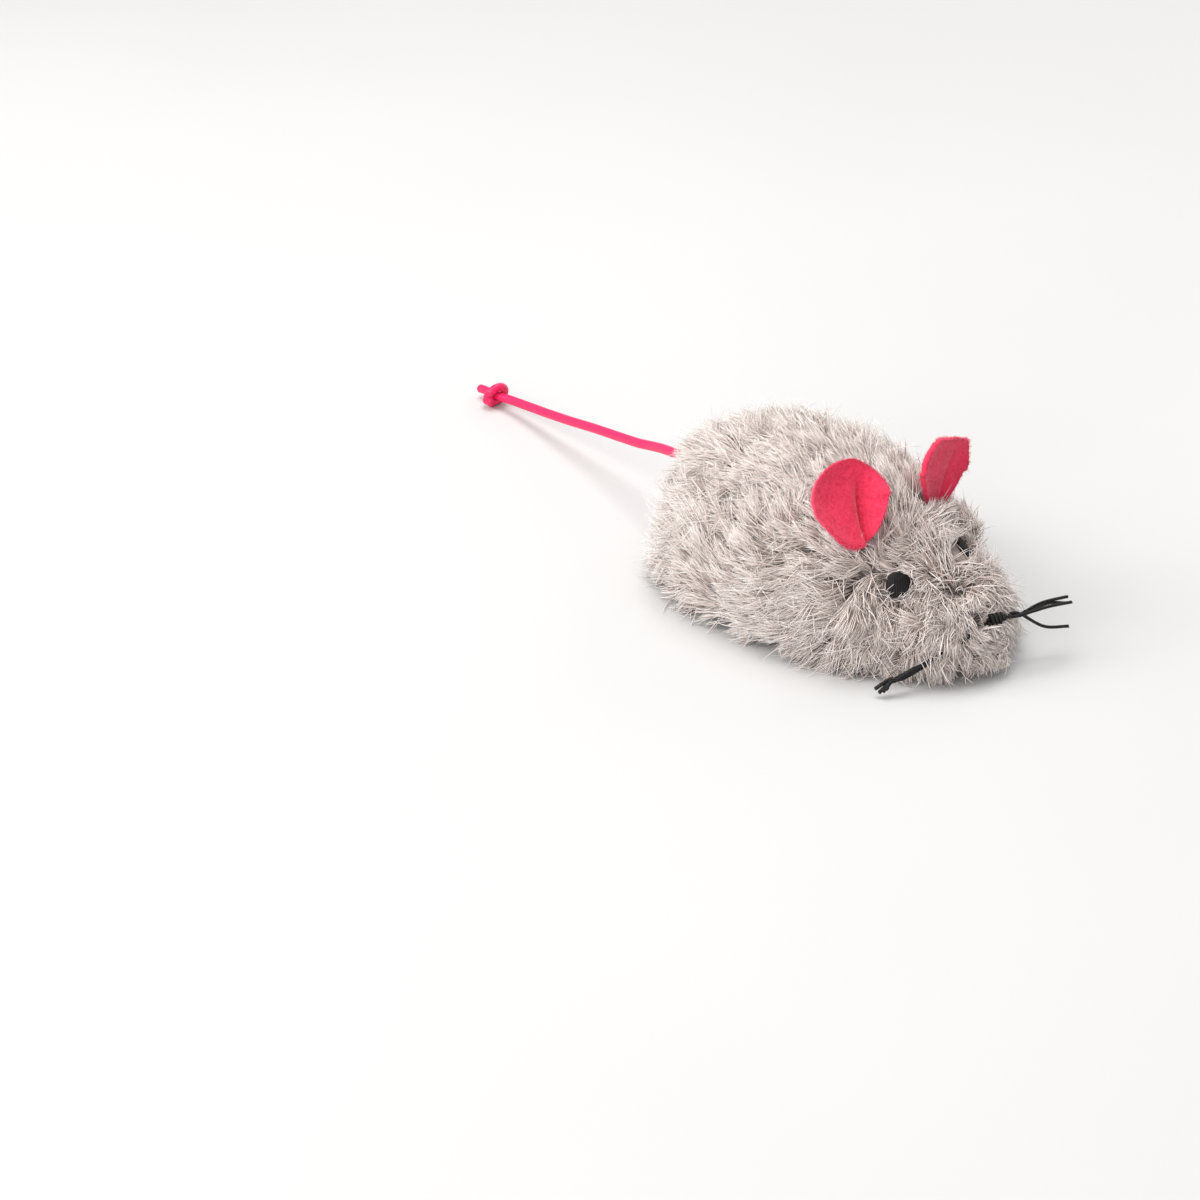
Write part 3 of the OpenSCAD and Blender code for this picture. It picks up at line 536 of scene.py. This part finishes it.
PILE_DEPTH = 0.78          # share of the cover's thickness that the pile fills
PIECE_STRANDS = 8500       # keeps each fur piece under 200 000 triangles
STRANDS, QUICK_STRANDS = 66000, 16000
TUFTS, LOCKS = 3600, 850   # strands gather into tufts, and tufts into locks
STRAND_STEPS = 5
STRAND_LENGTH = 8.1        # mm, before it varies
WHORL = np.array([31.0, -0.5, 12.5]) * MM
KEY_FLANGE = 5.1 * MM      # radius round the key's axis that stays free of pile
KEY_SWEEP = 9 * MM         # radius that the turning key sweeps
KEY_LEVEL = 26.2 * MM      # the pile stays nearer the middle than this under the key


def ease(x):
    """0 below 0, 1 above 1, and smooth between."""
    x = np.clip(x, 0, 1)
    return x * x * (3 - 2 * x)


def nap_direction(points, normals):
    """The way the pile lies: it fans out from a whorl on the snout, and runs back and down the body."""
    away = unit(points - WHORL)
    back = np.tile([-1.0, 0.0, -0.10], (len(points), 1))
    reach = np.linalg.norm(points - WHORL, axis=1)
    mix = np.clip((reach - 14 * MM) / (26 * MM), 0, 1)[:, None]
    direction = away * (1 - mix) + back * mix
    low = np.clip((10 * MM - points[:, 2]) / (11 * MM), 0, 1)
    direction[:, 2] -= 0.85 * low
    direction -= normals * (direction * normals).sum(1, keepdims=True)
    return unit(direction)


def turned(direction, normals, angle):
    """direction turned about normals by angle."""
    c, s = np.cos(angle)[:, None], np.sin(angle)[:, None]
    return unit(direction * c + np.cross(normals, direction) * s)


def eye_distance(points):
    """Distance of each point to the nearer eye's centre."""
    return np.minimum(*(np.linalg.norm(points - eye_place(side)[0], axis=-1) for side in (-1, 1)))


def comb_aside(paths, centre, axis, gap, start, stop, stays):
    """Pushes the pile out of a cylinder of radius gap, except for the fibres that stay."""
    off = paths - centre
    run = off @ axis
    flat = off - run[..., None] * axis
    reach = np.linalg.norm(flat, axis=-1)
    push = np.where((reach < gap) & (run > start) & (run < stop), gap - reach, 0)
    push[:, 0] = 0
    push[stays] = 0
    return paths + unit(flat) * push[..., None]


def part_round_face(paths, rng):
    """Combs the pile aside from the eyes and the near whiskers, but for a few fibres that cross them."""
    stays = rng.random(len(paths)) < 0.22
    for side in (-1, 1):
        centre, face = eye_place(side)
        paths = comb_aside(paths, centre, face, EYE_RADIUS * 1.05, -2 * MM, 12 * MM, stays)
    root, along = whisker_line(-1)
    return comb_aside(paths, root, along, 0.8 * MM, 13 * MM, 24 * MM, stays)


def clear_of_sight(paths, rng):
    """Which strands stay: most of those that cross the view to the far eye and whisker root do not."""
    fine = np.concatenate([paths, (paths[:, 1:] + paths[:, :-1]) / 2], axis=1)
    view = unit(OVER_FOREHEAD)

    centre, _ = eye_place(1)
    off = fine - centre
    height = off @ view
    reach = np.linalg.norm(off - height[..., None] * view, axis=-1)
    before_eye = (reach < EYE_RADIUS * 0.9) & (height > 0.3 * MM)

    root, along = whisker_line(1)
    across = unit(np.cross(along, view))
    normal = np.cross(across, along)
    off = fine - root
    run, height, sideways = off @ along, off @ normal, off @ across
    before_root = (np.abs(sideways) < 1.1 * MM) & (run > -6 * MM) & (run < 9 * MM) & (height > 0.2 * MM)
    return ~(before_eye | before_root).any(axis=1) | (rng.random(len(paths)) < 0.02)


def whisker_line(side):
    """The point where a whisker bundle leaves the muzzle, and its direction there."""
    root = np.array([36.4, 3.0 * side, 6.8]) * MM + unit(OVER_FOREHEAD) * (0.8 * MM if side > 0 else 0)
    return root, unit(np.mean(WHISKER_TIPS[side], axis=0) * MM - root)


def clear_of_ears(paths):
    """Which strands stay: those that neither pierce an ear nor stand up before its upper part."""
    keep = np.ones(len(paths), bool)
    for name in EARS:
        surface, right, up, face = ear_surface(name)
        off = paths - surface(np.array([0.0]), np.array([0.0]), 0.5)[0]
        height, v, u = off @ face, off @ up / EAR_RADIUS, off @ right / EAR_RADIUS
        within = np.hypot(u, v) < 1.0
        pierces = within & (height > -2.6 * MM) & (height < 1.2 * MM) & (v > -0.75)
        before = within & (height > 0) & (height < 7 * MM) & (v > -0.50 + 0.28 * (u > 0.1))
        keep &= ~(pierces | before).any(axis=1)
    return keep


def part_round_key(paths):
    """Keeps the pile clear of the eyelet and of the turning key."""
    off = paths[..., [0, 2]] - KEY_AXIS[[0, 2]]
    reach = np.linalg.norm(off, axis=-1)
    left = paths[..., 1] > 15 * MM
    push = np.where(left & (reach < KEY_FLANGE), KEY_FLANGE - reach, 0)
    paths[..., [0, 2]] += unit(off) * push[..., None]
    swept = left & (reach < KEY_SWEEP)
    paths[..., 1] = np.where(swept, np.minimum(paths[..., 1], KEY_LEVEL), paths[..., 1])
    return paths


def strand_paths(root, normal, direction, length, lift_root, lift_tip, curl, steps):
    """Points of each strand, from a steep root to a tip that lies along the nap."""
    t = np.linspace(0, 1, steps)
    mid = (t[1:] + t[:-1]) / 2
    lift = lift_root[:, None] + (lift_tip - lift_root)[:, None] * mid[None] ** 0.8
    sideways = np.cross(normal, direction)
    heading = (np.cos(lift)[:, :, None] * direction[:, None] + np.sin(lift)[:, :, None] * normal[:, None]
               + (curl[:, None] * mid[None])[:, :, None] * sideways[:, None])
    step = unit(heading) * (length / (steps - 1))[:, None, None]
    return root[:, None] + np.concatenate([np.zeros((len(root), 1, 3)), np.cumsum(step, axis=1)], axis=1)


def strand_object(name, paths, width, tone, material):
    """One mesh of tapered three-sided strands, each closed, ending in a point."""
    count, steps = paths.shape[:2]
    tangent = unit(np.gradient(paths, axis=1))
    ref = unit(np.cross(tangent, np.array([0.31, 0.22, 0.92])))
    up = np.cross(tangent, ref)
    t = np.linspace(0, 1, steps)
    taper = np.sqrt(1 - t[:-1] ** 2) * (0.75 + 0.25 * np.minimum(1, t[:-1] * 4))
    radius = width[:, None] / 2 * taper[None]
    angle = np.array([0, 2, 4]) * math.pi / 3
    ring = (np.cos(angle)[:, None] * ref[:, :-1, None] + np.sin(angle)[:, None] * up[:, :-1, None])
    tube_verts = paths[:, :-1, None] + radius[:, :, None, None] * ring
    per = (steps - 1) * 3 + 1
    verts = np.empty((count, per, 3), dtype=np.float32)
    verts[:, :-1] = tube_verts.reshape(count, -1, 3)
    verts[:, -1] = paths[:, -1]

    quads = [(i * 3 + k, i * 3 + (k + 1) % 3, (i + 1) * 3 + (k + 1) % 3, (i + 1) * 3 + k)
             for i in range(steps - 2) for k in range(3)]
    last = (steps - 2) * 3
    tris = [(last + k, last + (k + 1) % 3, per - 1) for k in range(3)] + [(2, 1, 0)]
    local = np.array([i for f in quads for i in f] + [i for f in tris for i in f])
    sizes = np.array([4] * len(quads) + [3] * len(tris))
    loops = (local[None] + per * np.arange(count)[:, None]).reshape(-1)
    starts = np.concatenate([[0], np.cumsum(sizes)[:-1]])
    starts = (starts[None] + len(local) * np.arange(count)[:, None]).reshape(-1)

    mesh = bpy.data.meshes.new(name)
    mesh.vertices.add(count * per)
    mesh.vertices.foreach_set("co", verts.reshape(-1))
    mesh.loops.add(len(loops))
    mesh.loops.foreach_set("vertex_index", loops.astype(np.int32))
    mesh.polygons.add(len(starts))
    mesh.polygons.foreach_set("loop_start", starts.astype(np.int32))
    mesh.polygons.foreach_set("use_smooth", np.ones(len(starts), dtype=bool))
    mesh.update(calc_edges=True)
    mesh.validate()
    mesh.materials.append(material)
    obj = bpy.data.objects.new(name, mesh)
    bpy.context.scene.collection.objects.link(obj)

    along = np.append(np.repeat(t[:-1], 3), 1.0)
    along = np.tile(along, count)
    strand_tone = np.repeat(tone, per)
    set_attribute(obj, "along", along)
    set_attribute(obj, "tone", strand_tone)
    bake = mesh.uv_layers.new(name="OFBake")
    uv = np.stack([0.02 + 0.96 * strand_tone, 0.02 + 0.96 * along], -1)[loops]
    bake.data.foreach_set("uv", uv.astype(np.float32).reshape(-1))
    return obj


def nearest(centres, points):
    """Index of the nearest centre to each point."""
    tree = KDTree(len(centres))
    for i, c in enumerate(centres):
        tree.insert(c, i)
    tree.balance()
    return np.array([tree.find(p)[1] for p in points])


def tuft_routes(body, count, rng, steps):
    """Routes for tufts of pile all over the body, with what shapes them."""
    out, normal = body.sample(count, rng)
    root = body.under(out, PILE_DEPTH)
    head = ease((out[:, 0] - 13 * MM) / (10 * MM))
    chin = ease((out[:, 0] - 30 * MM) / (8 * MM)) * ease((11 * MM - out[:, 2]) / (6 * MM))
    rump = ease((-normal[:, 0] - 0.4) / 0.5)
    flank = ease((12 * MM - out[:, 2]) / (10 * MM))
    near_eye = 1 - ease((eye_distance(out) - 4 * MM) / (5 * MM))
    wander = 0.45 * wave_noise(out, 22 * MM, 3) + 0.35 * wave_noise(out, 8 * MM, 4)
    turn = wander * (1 + 0.9 * head) + rng.normal(0, 0.26, count) * (1 + 2.0 * head)
    length = (STRAND_LENGTH + 0.9 * wave_noise(out, 15 * MM, 5) + rng.normal(0, 0.9, count)) * MM
    length *= 1 - 0.30 * near_eye - 0.42 * chin - 0.08 * head
    lift = 56 + 9 * wave_noise(out, 12 * MM, 6) + rng.normal(0, 8, count) - 8 * near_eye - 5 * head
    tip = 10 + 7 * wave_noise(out, 10 * MM, 7) + rng.normal(0, 7, count) * (1 + 0.6 * head)
    tip = tip + 12 * rump - 7 * flank
    tip -= 8 * near_eye + 8 * head
    curl = rng.normal(0, 0.42, count) * (1 + 0.6 * head)
    lie = turned(nap_direction(out, normal), normal, turn)
    lift, tip = np.radians(lift), np.radians(tip)
    paths = strand_paths(root, normal, lie, length, lift, tip, curl, steps)
    return {"root": root, "head": head, "turn": turn, "length": length, "lift": lift, "tip": tip,
            "curl": curl, "paths": paths}


def make_fur(body):
    """The shaggy pile, in tufts with some stray fibres, split over several pieces."""
    rng = np.random.default_rng(SEED)
    count = STRANDS
    steps = STRAND_STEPS
    lock = tuft_routes(body, LOCKS, rng, steps)
    clump = tuft_routes(body, TUFTS, rng, steps)
    lock_of = nearest(lock["root"], clump["root"])
    clump["turn"] = 0.60 * clump["turn"] + 0.75 * lock["turn"][lock_of]
    for key in ("lift", "tip"):
        clump[key] = 0.45 * clump[key] + 0.55 * lock[key][lock_of]
    t = np.linspace(0, 1, steps)
    gather = (0.30 + 0.15 * clump["head"])[:, None] * t[None] ** 1.1
    clump["paths"] += (lock["paths"][lock_of] - clump["paths"]) * gather[..., None]

    out, normal = body.sample(count, rng)
    in_eye = eye_distance(out) < EYE_RADIUS * 1.2
    off_key = np.linalg.norm(out[:, [0, 2]] - KEY_AXIS[[0, 2]], axis=1)
    keep = ~in_eye & ~((off_key < 4.8 * MM) & (out[:, 1] > 0))
    out, normal = out[keep], normal[keep]
    count = len(out)
    root = body.under(out, PILE_DEPTH)
    tuft = nearest(clump["root"], root)
    head = clump["head"][tuft]

    stray = rng.random(count) < 0.07 + 0.08 * head
    lie = nap_direction(out, normal)
    spread = rng.normal(0, 0.12, count) * (1 + head) + stray * rng.normal(0, 0.8, count)
    lie = turned(lie, normal, clump["turn"][tuft] + spread)
    length = clump["length"][tuft] * rng.uniform(0.66, 1.16, count) * (1 + 0.15 * stray)
    lift = clump["lift"][tuft] + rng.normal(0, 0.14, count)
    tip = clump["tip"][tuft] + rng.normal(0, 0.13, count) + 0.25 * stray
    curl = clump["curl"][tuft] + rng.normal(0, 0.16, count) + stray * rng.normal(0, 0.9, count)
    paths = strand_paths(root, normal, lie, length, lift, tip, curl, steps)
    pull = (rng.uniform(0.15, 0.75, count) + 0.15 * head)[:, None] * t[None] ** 1.2
    pull = np.where(stray[:, None], 0.15 * pull, pull)
    paths += (clump["paths"][tuft] - paths) * pull[:, :, None]
    paths = part_round_face(part_round_key(paths), rng)
    paths[:, :, 2] = np.maximum(paths[:, :, 2], GROUND + 0.25 * MM)

    tuft_tone = rng.normal(0, 0.08, TUFTS) + rng.normal(0, 0.09, LOCKS)[lock_of]
    tone = 0.62 + 0.24 * rng.normal(size=count) + 0.12 * wave_noise(out, 7 * MM, 8)
    tone = tone + tuft_tone[tuft] + 0.2 * stray
    # Painted light brightens the low flanks, and painted shade darkens the head.
    tone += 0.16 * ease((10 * MM - out[:, 2]) / (10 * MM)) * (1 - head) - 0.10 * head
    tone = np.clip(tone, 0, 1)
    width = rng.uniform(0.17, 0.31, count) * MM * 1
    material = fur_material()
    order = np.argsort(root[:, 0])
    order = order[(clear_of_ears(paths) & clear_of_sight(paths, rng))[order]]
    for k, part in enumerate(np.array_split(order, math.ceil(len(order) / PIECE_STRANDS))):
        piece = strand_object(f"fur_pile_{k + 1}", paths[part], width[part], tone[part], material)
        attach(piece, "root")


def make_backing(body):
    """The plush fabric that the pile grows from, close round the shell, with its cut hem."""
    used, faces = np.unique(body.outer, return_inverse=True)
    faces = faces.reshape(-1, 3)
    outside = body.under(body.verts[used], 0.80)
    inside = body.under(body.verts[used], 0.96)
    edges = np.concatenate([faces[:, [0, 1]], faces[:, [1, 2]], faces[:, [2, 0]]])
    back = {(b, a) for a, b in edges.tolist()}
    rim = [e for e in edges.tolist() if tuple(e) not in back]
    n = len(used)
    hem = [(a, a + n, b + n, b) for a, b in rim]
    all_faces = faces.tolist() + (faces[:, ::-1] + n).tolist() + hem
    obj = new_mesh("fur_backing", np.vstack([outside, inside]), all_faces, backing_material())
    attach(obj, "root")
    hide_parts("fur_cover")


# ---------------------------------------------------------------- ears, eyes, whiskers

# Side, facing, roll in degrees, strength of the fold, narrowing of the base, height of the flat top,
# and lift in mm
EARS = {
    "ear_right": (-1, (0.75, 0.25, 0.60), 4, 1.0, 0.30, 1.2, 0.5),
    "ear_left": (1, (0.97, 0.10, 0.02), 20, 0.15, 0.42, 0.80, 0.3),
}
EAR_RADIUS = 8.2 * MM
EAR_THICKNESS = 1.3 * MM


def face_axes(face, roll=0.0):
    """Right and up directions of something that faces that way, rolled clockwise by degrees."""
    up = unit(np.array([0, 0, 1.0]) - face * face[2])
    right = np.cross(up, face)
    c, s = math.cos(math.radians(roll)), math.sin(math.radians(roll))
    return right * c - up * s, up * c + right * s


def ear_surface(name):
    """A function from (u, v, layer) to a point of the felt, and its axes. Layer 0 is behind, 1 in front."""
    side, direction, roll, strength, narrowing, top, lift = EARS[name]
    face = facing(side, direction)
    right, up = face_axes(face, roll)
    centre = box_middle(name) + up * lift * MM

    def surface(u, v, layer):
        crease = 0.38 + 0.10 * v ** 2
        fold = ease((0.85 - v) / 0.8) * strength
        groove = -0.24 * np.exp(-((u - crease) / 0.15) ** 2) * fold
        lobe = np.sqrt(np.clip(u - crease, 0, 1) + 0.01) * 0.40 * fold * (u > crease)
        roll_in = np.clip(np.hypot(u, v) - 0.55, 0, 1) ** 2 * 0.55
        bowl = 0.10 * (u ** 2 + v ** 2) + roll_in * (0.35 + 0.65 * (v > 0))
        wave = 0.03 * np.sin(3.1 * u + 1.3) * np.sin(2.3 * v + 0.4)
        edge = np.clip((np.hypot(u, v) - 0.88) / 0.14, 0, 1)
        half = EAR_THICKNESS / 2 * np.sqrt(np.clip(1 - edge ** 2 * 0.85, 0, 1))
        narrow = 1 - narrowing * ease((0.35 - v) / 1.3)
        across = (u - 0.12 * fold * np.clip(u - crease, 0, 1)) * narrow
        rise = np.where(v > top, top + 0.2 * (v - top), v)
        depth = (bowl + groove + lobe + wave - 0.08) * EAR_RADIUS
        return (centre + np.multiply.outer(across * EAR_RADIUS, right)
                + np.multiply.outer(rise * EAR_RADIUS, up)
                + np.multiply.outer(depth + (2 * layer - 1) * half, face))

    return surface, right, up, face


def ear_oval(angle):
    """Radius of an ear's outline, in radii, as a slight oval."""
    return 1 + 0.055 * np.cos(2 * (angle - math.radians(62)))


def make_ear(name, material, fuzz_material):
    """A round of felt, cupped forward and creased at its base, with loose fibres at its cut edge."""
    surface, right, up, face = ear_surface(name)
    rings, spokes = 30, 96
    rng = np.random.default_rng(SEED + len(name))
    angle = np.linspace(0, 2 * math.pi, spokes, endpoint=False)
    outline = ear_oval(angle) + 0.010 * np.sin(5 * angle + 0.7) + 0.006 * np.sin(11 * angle)
    layers = []
    for layer in (1, 0):
        verts = [surface(np.array([0.0]), np.array([0.0]), layer)]
        for r in np.linspace(0, 1, rings + 1)[1:]:
            verts.append(surface(r * outline * np.cos(angle), r * outline * np.sin(angle), layer))
        layers.append(np.vstack(verts))
    count = len(layers[0])
    faces = []
    for base in (0, count):
        flip = base > 0
        for k in range(spokes):
            n = (k + 1) % spokes
            ring_faces = [[base, base + 1 + k, base + 1 + n]]
            for r in range(rings - 1):
                a = base + 1 + r * spokes
                ring_faces.append([a + k, a + spokes + k, a + spokes + n, a + n])
            faces += [f[::-1] if flip else f for f in ring_faces]
    rim = 1 + (rings - 1) * spokes
    for k in range(spokes):
        n = (k + 1) % spokes
        faces.append([rim + k, count + rim + k, count + rim + n, rim + n])
    felt = new_mesh(name + "_felt", np.vstack(layers), faces, material)

    fibres = 5200
    r = np.where(rng.random(fibres) < 0.4, rng.uniform(0.97, 1.0, fibres), np.sqrt(rng.random(fibres)))
    a = rng.uniform(0, 2 * math.pi, fibres)
    r = r * ear_oval(a)
    u, v = r * np.cos(a), r * np.sin(a)
    layer = rng.random(fibres).round()
    root = surface(u, v, layer)
    at_edge = (r > 0.96)[:, None]
    outward = np.multiply.outer(np.cos(a), right) + np.multiply.outer(np.sin(a), up)
    away = np.where(at_edge, outward, np.multiply.outer(2 * layer - 1, face))
    normal = unit(away + rng.normal(0, 0.4, (fibres, 3)))
    lie = unit(np.cross(normal, rng.normal(size=(fibres, 3))))
    length = rng.uniform(0.3, 0.75, fibres) * MM * (1 + 0.35 * at_edge[:, 0])
    paths = strand_paths(root - normal * 0.1 * MM, normal, lie, length, rng.uniform(0.2, 0.9, fibres),
                         rng.uniform(-0.6, 0.3, fibres), rng.normal(0, 0.8, fibres), 4)
    fuzz = strand_object(name + "_fuzz", paths, np.full(fibres, 0.06 * MM), rng.random(fibres), fuzz_material)
    for piece in (felt, fuzz):
        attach(piece, "root")
    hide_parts(name)


EYE_STITCHES = 15
STITCH_RADIUS = 0.27 * MM
STITCH_LEAN = 0.14


def make_eye(name, side, material):
    """An oval of black satin stitches, slightly domed."""
    centre, face = eye_place(side)
    right, up = face_axes(face)
    parts = []
    for k in range(EYE_STITCHES):
        x = (k + 0.5) / EYE_STITCHES * 2 - 1
        half = math.sqrt(1 - x * x)
        t = np.linspace(-1, 1, 11)
        dome = 1.1 * np.sqrt(np.clip(1.08 - x * x * 0.8 - (t * half) ** 2 * 0.8, 0, 2)) - 0.5
        path = (centre + np.multiply.outer((x + STITCH_LEAN * t * half) * EYE_RADIUS * 0.92, right)
                + np.multiply.outer(t * half * EYE_RADIUS * 1.04, up) + np.multiply.outer(dome * MM, face))
        parts.append(tube(path, STITCH_RADIUS, 8))
    verts, faces = joined(parts)
    obj = new_mesh(name + "_stitches", verts, faces, material)
    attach(obj, "root")
    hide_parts(name)


def twisted_thread(points, radius, turns_per_mm, phase):
    """A thread of three plies twisted round each other along a route."""
    path = smooth_route(points, 0.22 * MM)
    _, side, up = frames_along(path)
    run = np.concatenate([[0], np.cumsum(np.linalg.norm(np.diff(path, axis=0), axis=1))]) / MM
    parts = []
    for ply in range(3):
        a = run * turns_per_mm * 2 * math.pi + phase + ply * 2 * math.pi / 3
        centre = path + radius * 0.48 * (np.cos(a)[:, None] * side + np.sin(a)[:, None] * up)
        parts.append(tube(centre, radius * 0.56, 7))
    return joined(parts)


# Where the threads part and where they start, along the bundle, and their thickness
WHISKERS = {-1: (17 * MM, 2.5 * MM, 0.40 * MM), 1: (4.5 * MM, -2.4 * MM, 0.33 * MM)}
THREAD_TWIST = 0.6         # turns for each mm
COIL_POINTS = 90


def make_whiskers(name, side, material):
    """Four twisted threads that leave the muzzle as one bundle, part, and end in the air."""
    rng = np.random.default_rng(SEED + (8 if side < 0 else 9))
    root, along = whisker_line(side)
    together, first, thickness = WHISKERS[side]
    parts = []
    for tip in np.array(WHISKER_TIPS[side]) * MM:
        start = root + first * along + rng.normal(0, 0.3, 3) * MM
        near = root + (first + 3 * MM) * along + rng.normal(0, 0.35, 3) * MM
        bundle = root + together * along + rng.normal(0, 0.35, 3) * MM
        droop = -1.3 * MM if side > 0 and tip[2] < 4 * MM else 0.4 * MM
        middle = bundle + (tip - bundle) * 0.55 + rng.normal(0, 0.25, 3) * MM + np.array([0, 0, droop])
        route = [start, near, bundle, middle, tip]
        parts.append(twisted_thread(route, thickness, THREAD_TWIST, rng.uniform(0, 6)))
    if side > 0:
        ring = unit(np.cross(along, [0, 0, 1]))
        other = np.cross(along, ring)
        a = np.linspace(0, 8 * math.pi, COIL_POINTS)
        coil = root + 0.8 * MM * (np.cos(a)[:, None] * ring + np.sin(a)[:, None] * other)
        coil = coil + np.multiply.outer(np.linspace(-2.4, 0.8, COIL_POINTS) * MM, along)
        parts.append(tube(coil, 0.4 * MM, 7))
    verts, faces = joined(parts)
    obj = new_mesh(name + "_threads", verts, faces, material)
    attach(obj, "root")
    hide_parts(name)


# ---------------------------------------------------------------- CAD nodes

def finish_cad_nodes():
    """Procedural materials for the CAD nodes that stay as they are."""
    looks = {
        "shell_plastic": plastic_material("shell_plastic", (0.80, 0.80, 0.77), 0.45),
        "base_plastic": plastic_material("base_plastic", (0.035, 0.035, 0.038), 0.5, 0.00004),
        "steel": metal_material("plated_steel", (0.62, 0.62, 0.63), 0.32, (1, 1, 8)),
        "spring_steel": metal_material("blued_steel", (0.12, 0.15, 0.22), 0.3, (1, 6, 1)),
        "brass": metal_material("stamped_brass", (0.80, 0.58, 0.24), 0.3, (5, 1, 1)),
        "key_plastic": plastic_material("key_plastic", (0.78, 0.78, 0.75), 0.25),
        "eyelet_metal": metal_material("nickel_plate", (0.75, 0.74, 0.72), 0.2, (1, 1, 3)),
        "wheel_plastic": plastic_material("wheel_plastic", (0.78, 0.78, 0.75), 0.4),
        "rubber": rubber_material(),
        "caster_plastic": plastic_material("caster_plastic", (0.06, 0.06, 0.065), 0.45),
    }
    slots = {s["node"]: s["material_slot"] for s in frame["record"]["subparts"]}
    for name, obj in frame["nodes"].items():
        look = looks.get(slots[name])
        if look:
            for material_slot in obj.material_slots:
                material_slot.material = look


# ---------------------------------------------------------------- stage and light

def make_stage():
    """A plain pale floor."""
    material, tree, shader = principled("floor", (0.57, 0.562, 0.555), roughness=0.6)
    patches = ramp(tree, [(0.3, (0.56, 0.552, 0.545)), (0.7, (0.58, 0.572, 0.565))], noise(tree, 6, detail=2))
    tree.links.new(patches, shader.inputs["Base Color"])
    half = 3.0
    floor = new_mesh("floor", [(-half, -half, GROUND), (half, -half, GROUND), (half, half, GROUND),
                               (-half, half, GROUND)], [(0, 1, 2, 3)], material, smooth=False)
    floor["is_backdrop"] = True


def area_light(name, place, size, power):
    """A square light that faces the middle of the scene."""
    data = bpy.data.lights.new(name, "AREA")
    data.shape = "SQUARE"
    data.size = size
    data.energy = power
    obj = bpy.data.objects.new(name, data)
    obj.location = place
    obj.rotation_euler = (Vector((0, 0, 0)) - Vector(place)).to_track_quat("-Z", "Y").to_euler()
    bpy.context.scene.collection.objects.link(obj)


def make_lights():
    """Soft studio light: a box overhead, one to the left of the camera, and a weak fill."""
    area_light("top_box", (-0.18, 0.12, 0.80), 0.5, 5.0)
    area_light("left_box", (-0.50, -0.50, 0.50), 0.45, 4.7)
    area_light("fill", (0.25, -0.80, 0.28), 0.7, 3.8)
    area_light("far_fill", (0.0, 0.85, 0.30), 0.7, 2.0)
    world = bpy.data.worlds.new("studio")
    world.use_nodes = True
    world.node_tree.nodes["Background"].inputs["Color"].default_value = (1, 1, 1, 1)
    world.node_tree.nodes["Background"].inputs["Strength"].default_value = 0.55
    bpy.context.scene.world = world
    bpy.context.scene.view_settings.view_transform = "Standard"


# ---------------------------------------------------------------- build

make_camera()
make_tail()
body = Body()
make_backing(body)
make_fur(body)
felt, fuzz = felt_material(), felt_fuzz_material()
for ear in EARS:
    make_ear(ear, felt, fuzz)
stitches = eye_material()
make_eye("eye_right", -1, stitches)
make_eye("eye_left", 1, stitches)
thread = thread_material()
make_whiskers("whiskers_right", -1, thread)
make_whiskers("whiskers_left", 1, thread)
finish_cad_nodes()
make_stage()
make_lights()

({"cad": [list(map(float, c)) for c in (CAD_LOW, CAD_HIGH)],
           "visual": [list(map(float, c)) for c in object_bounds()]})
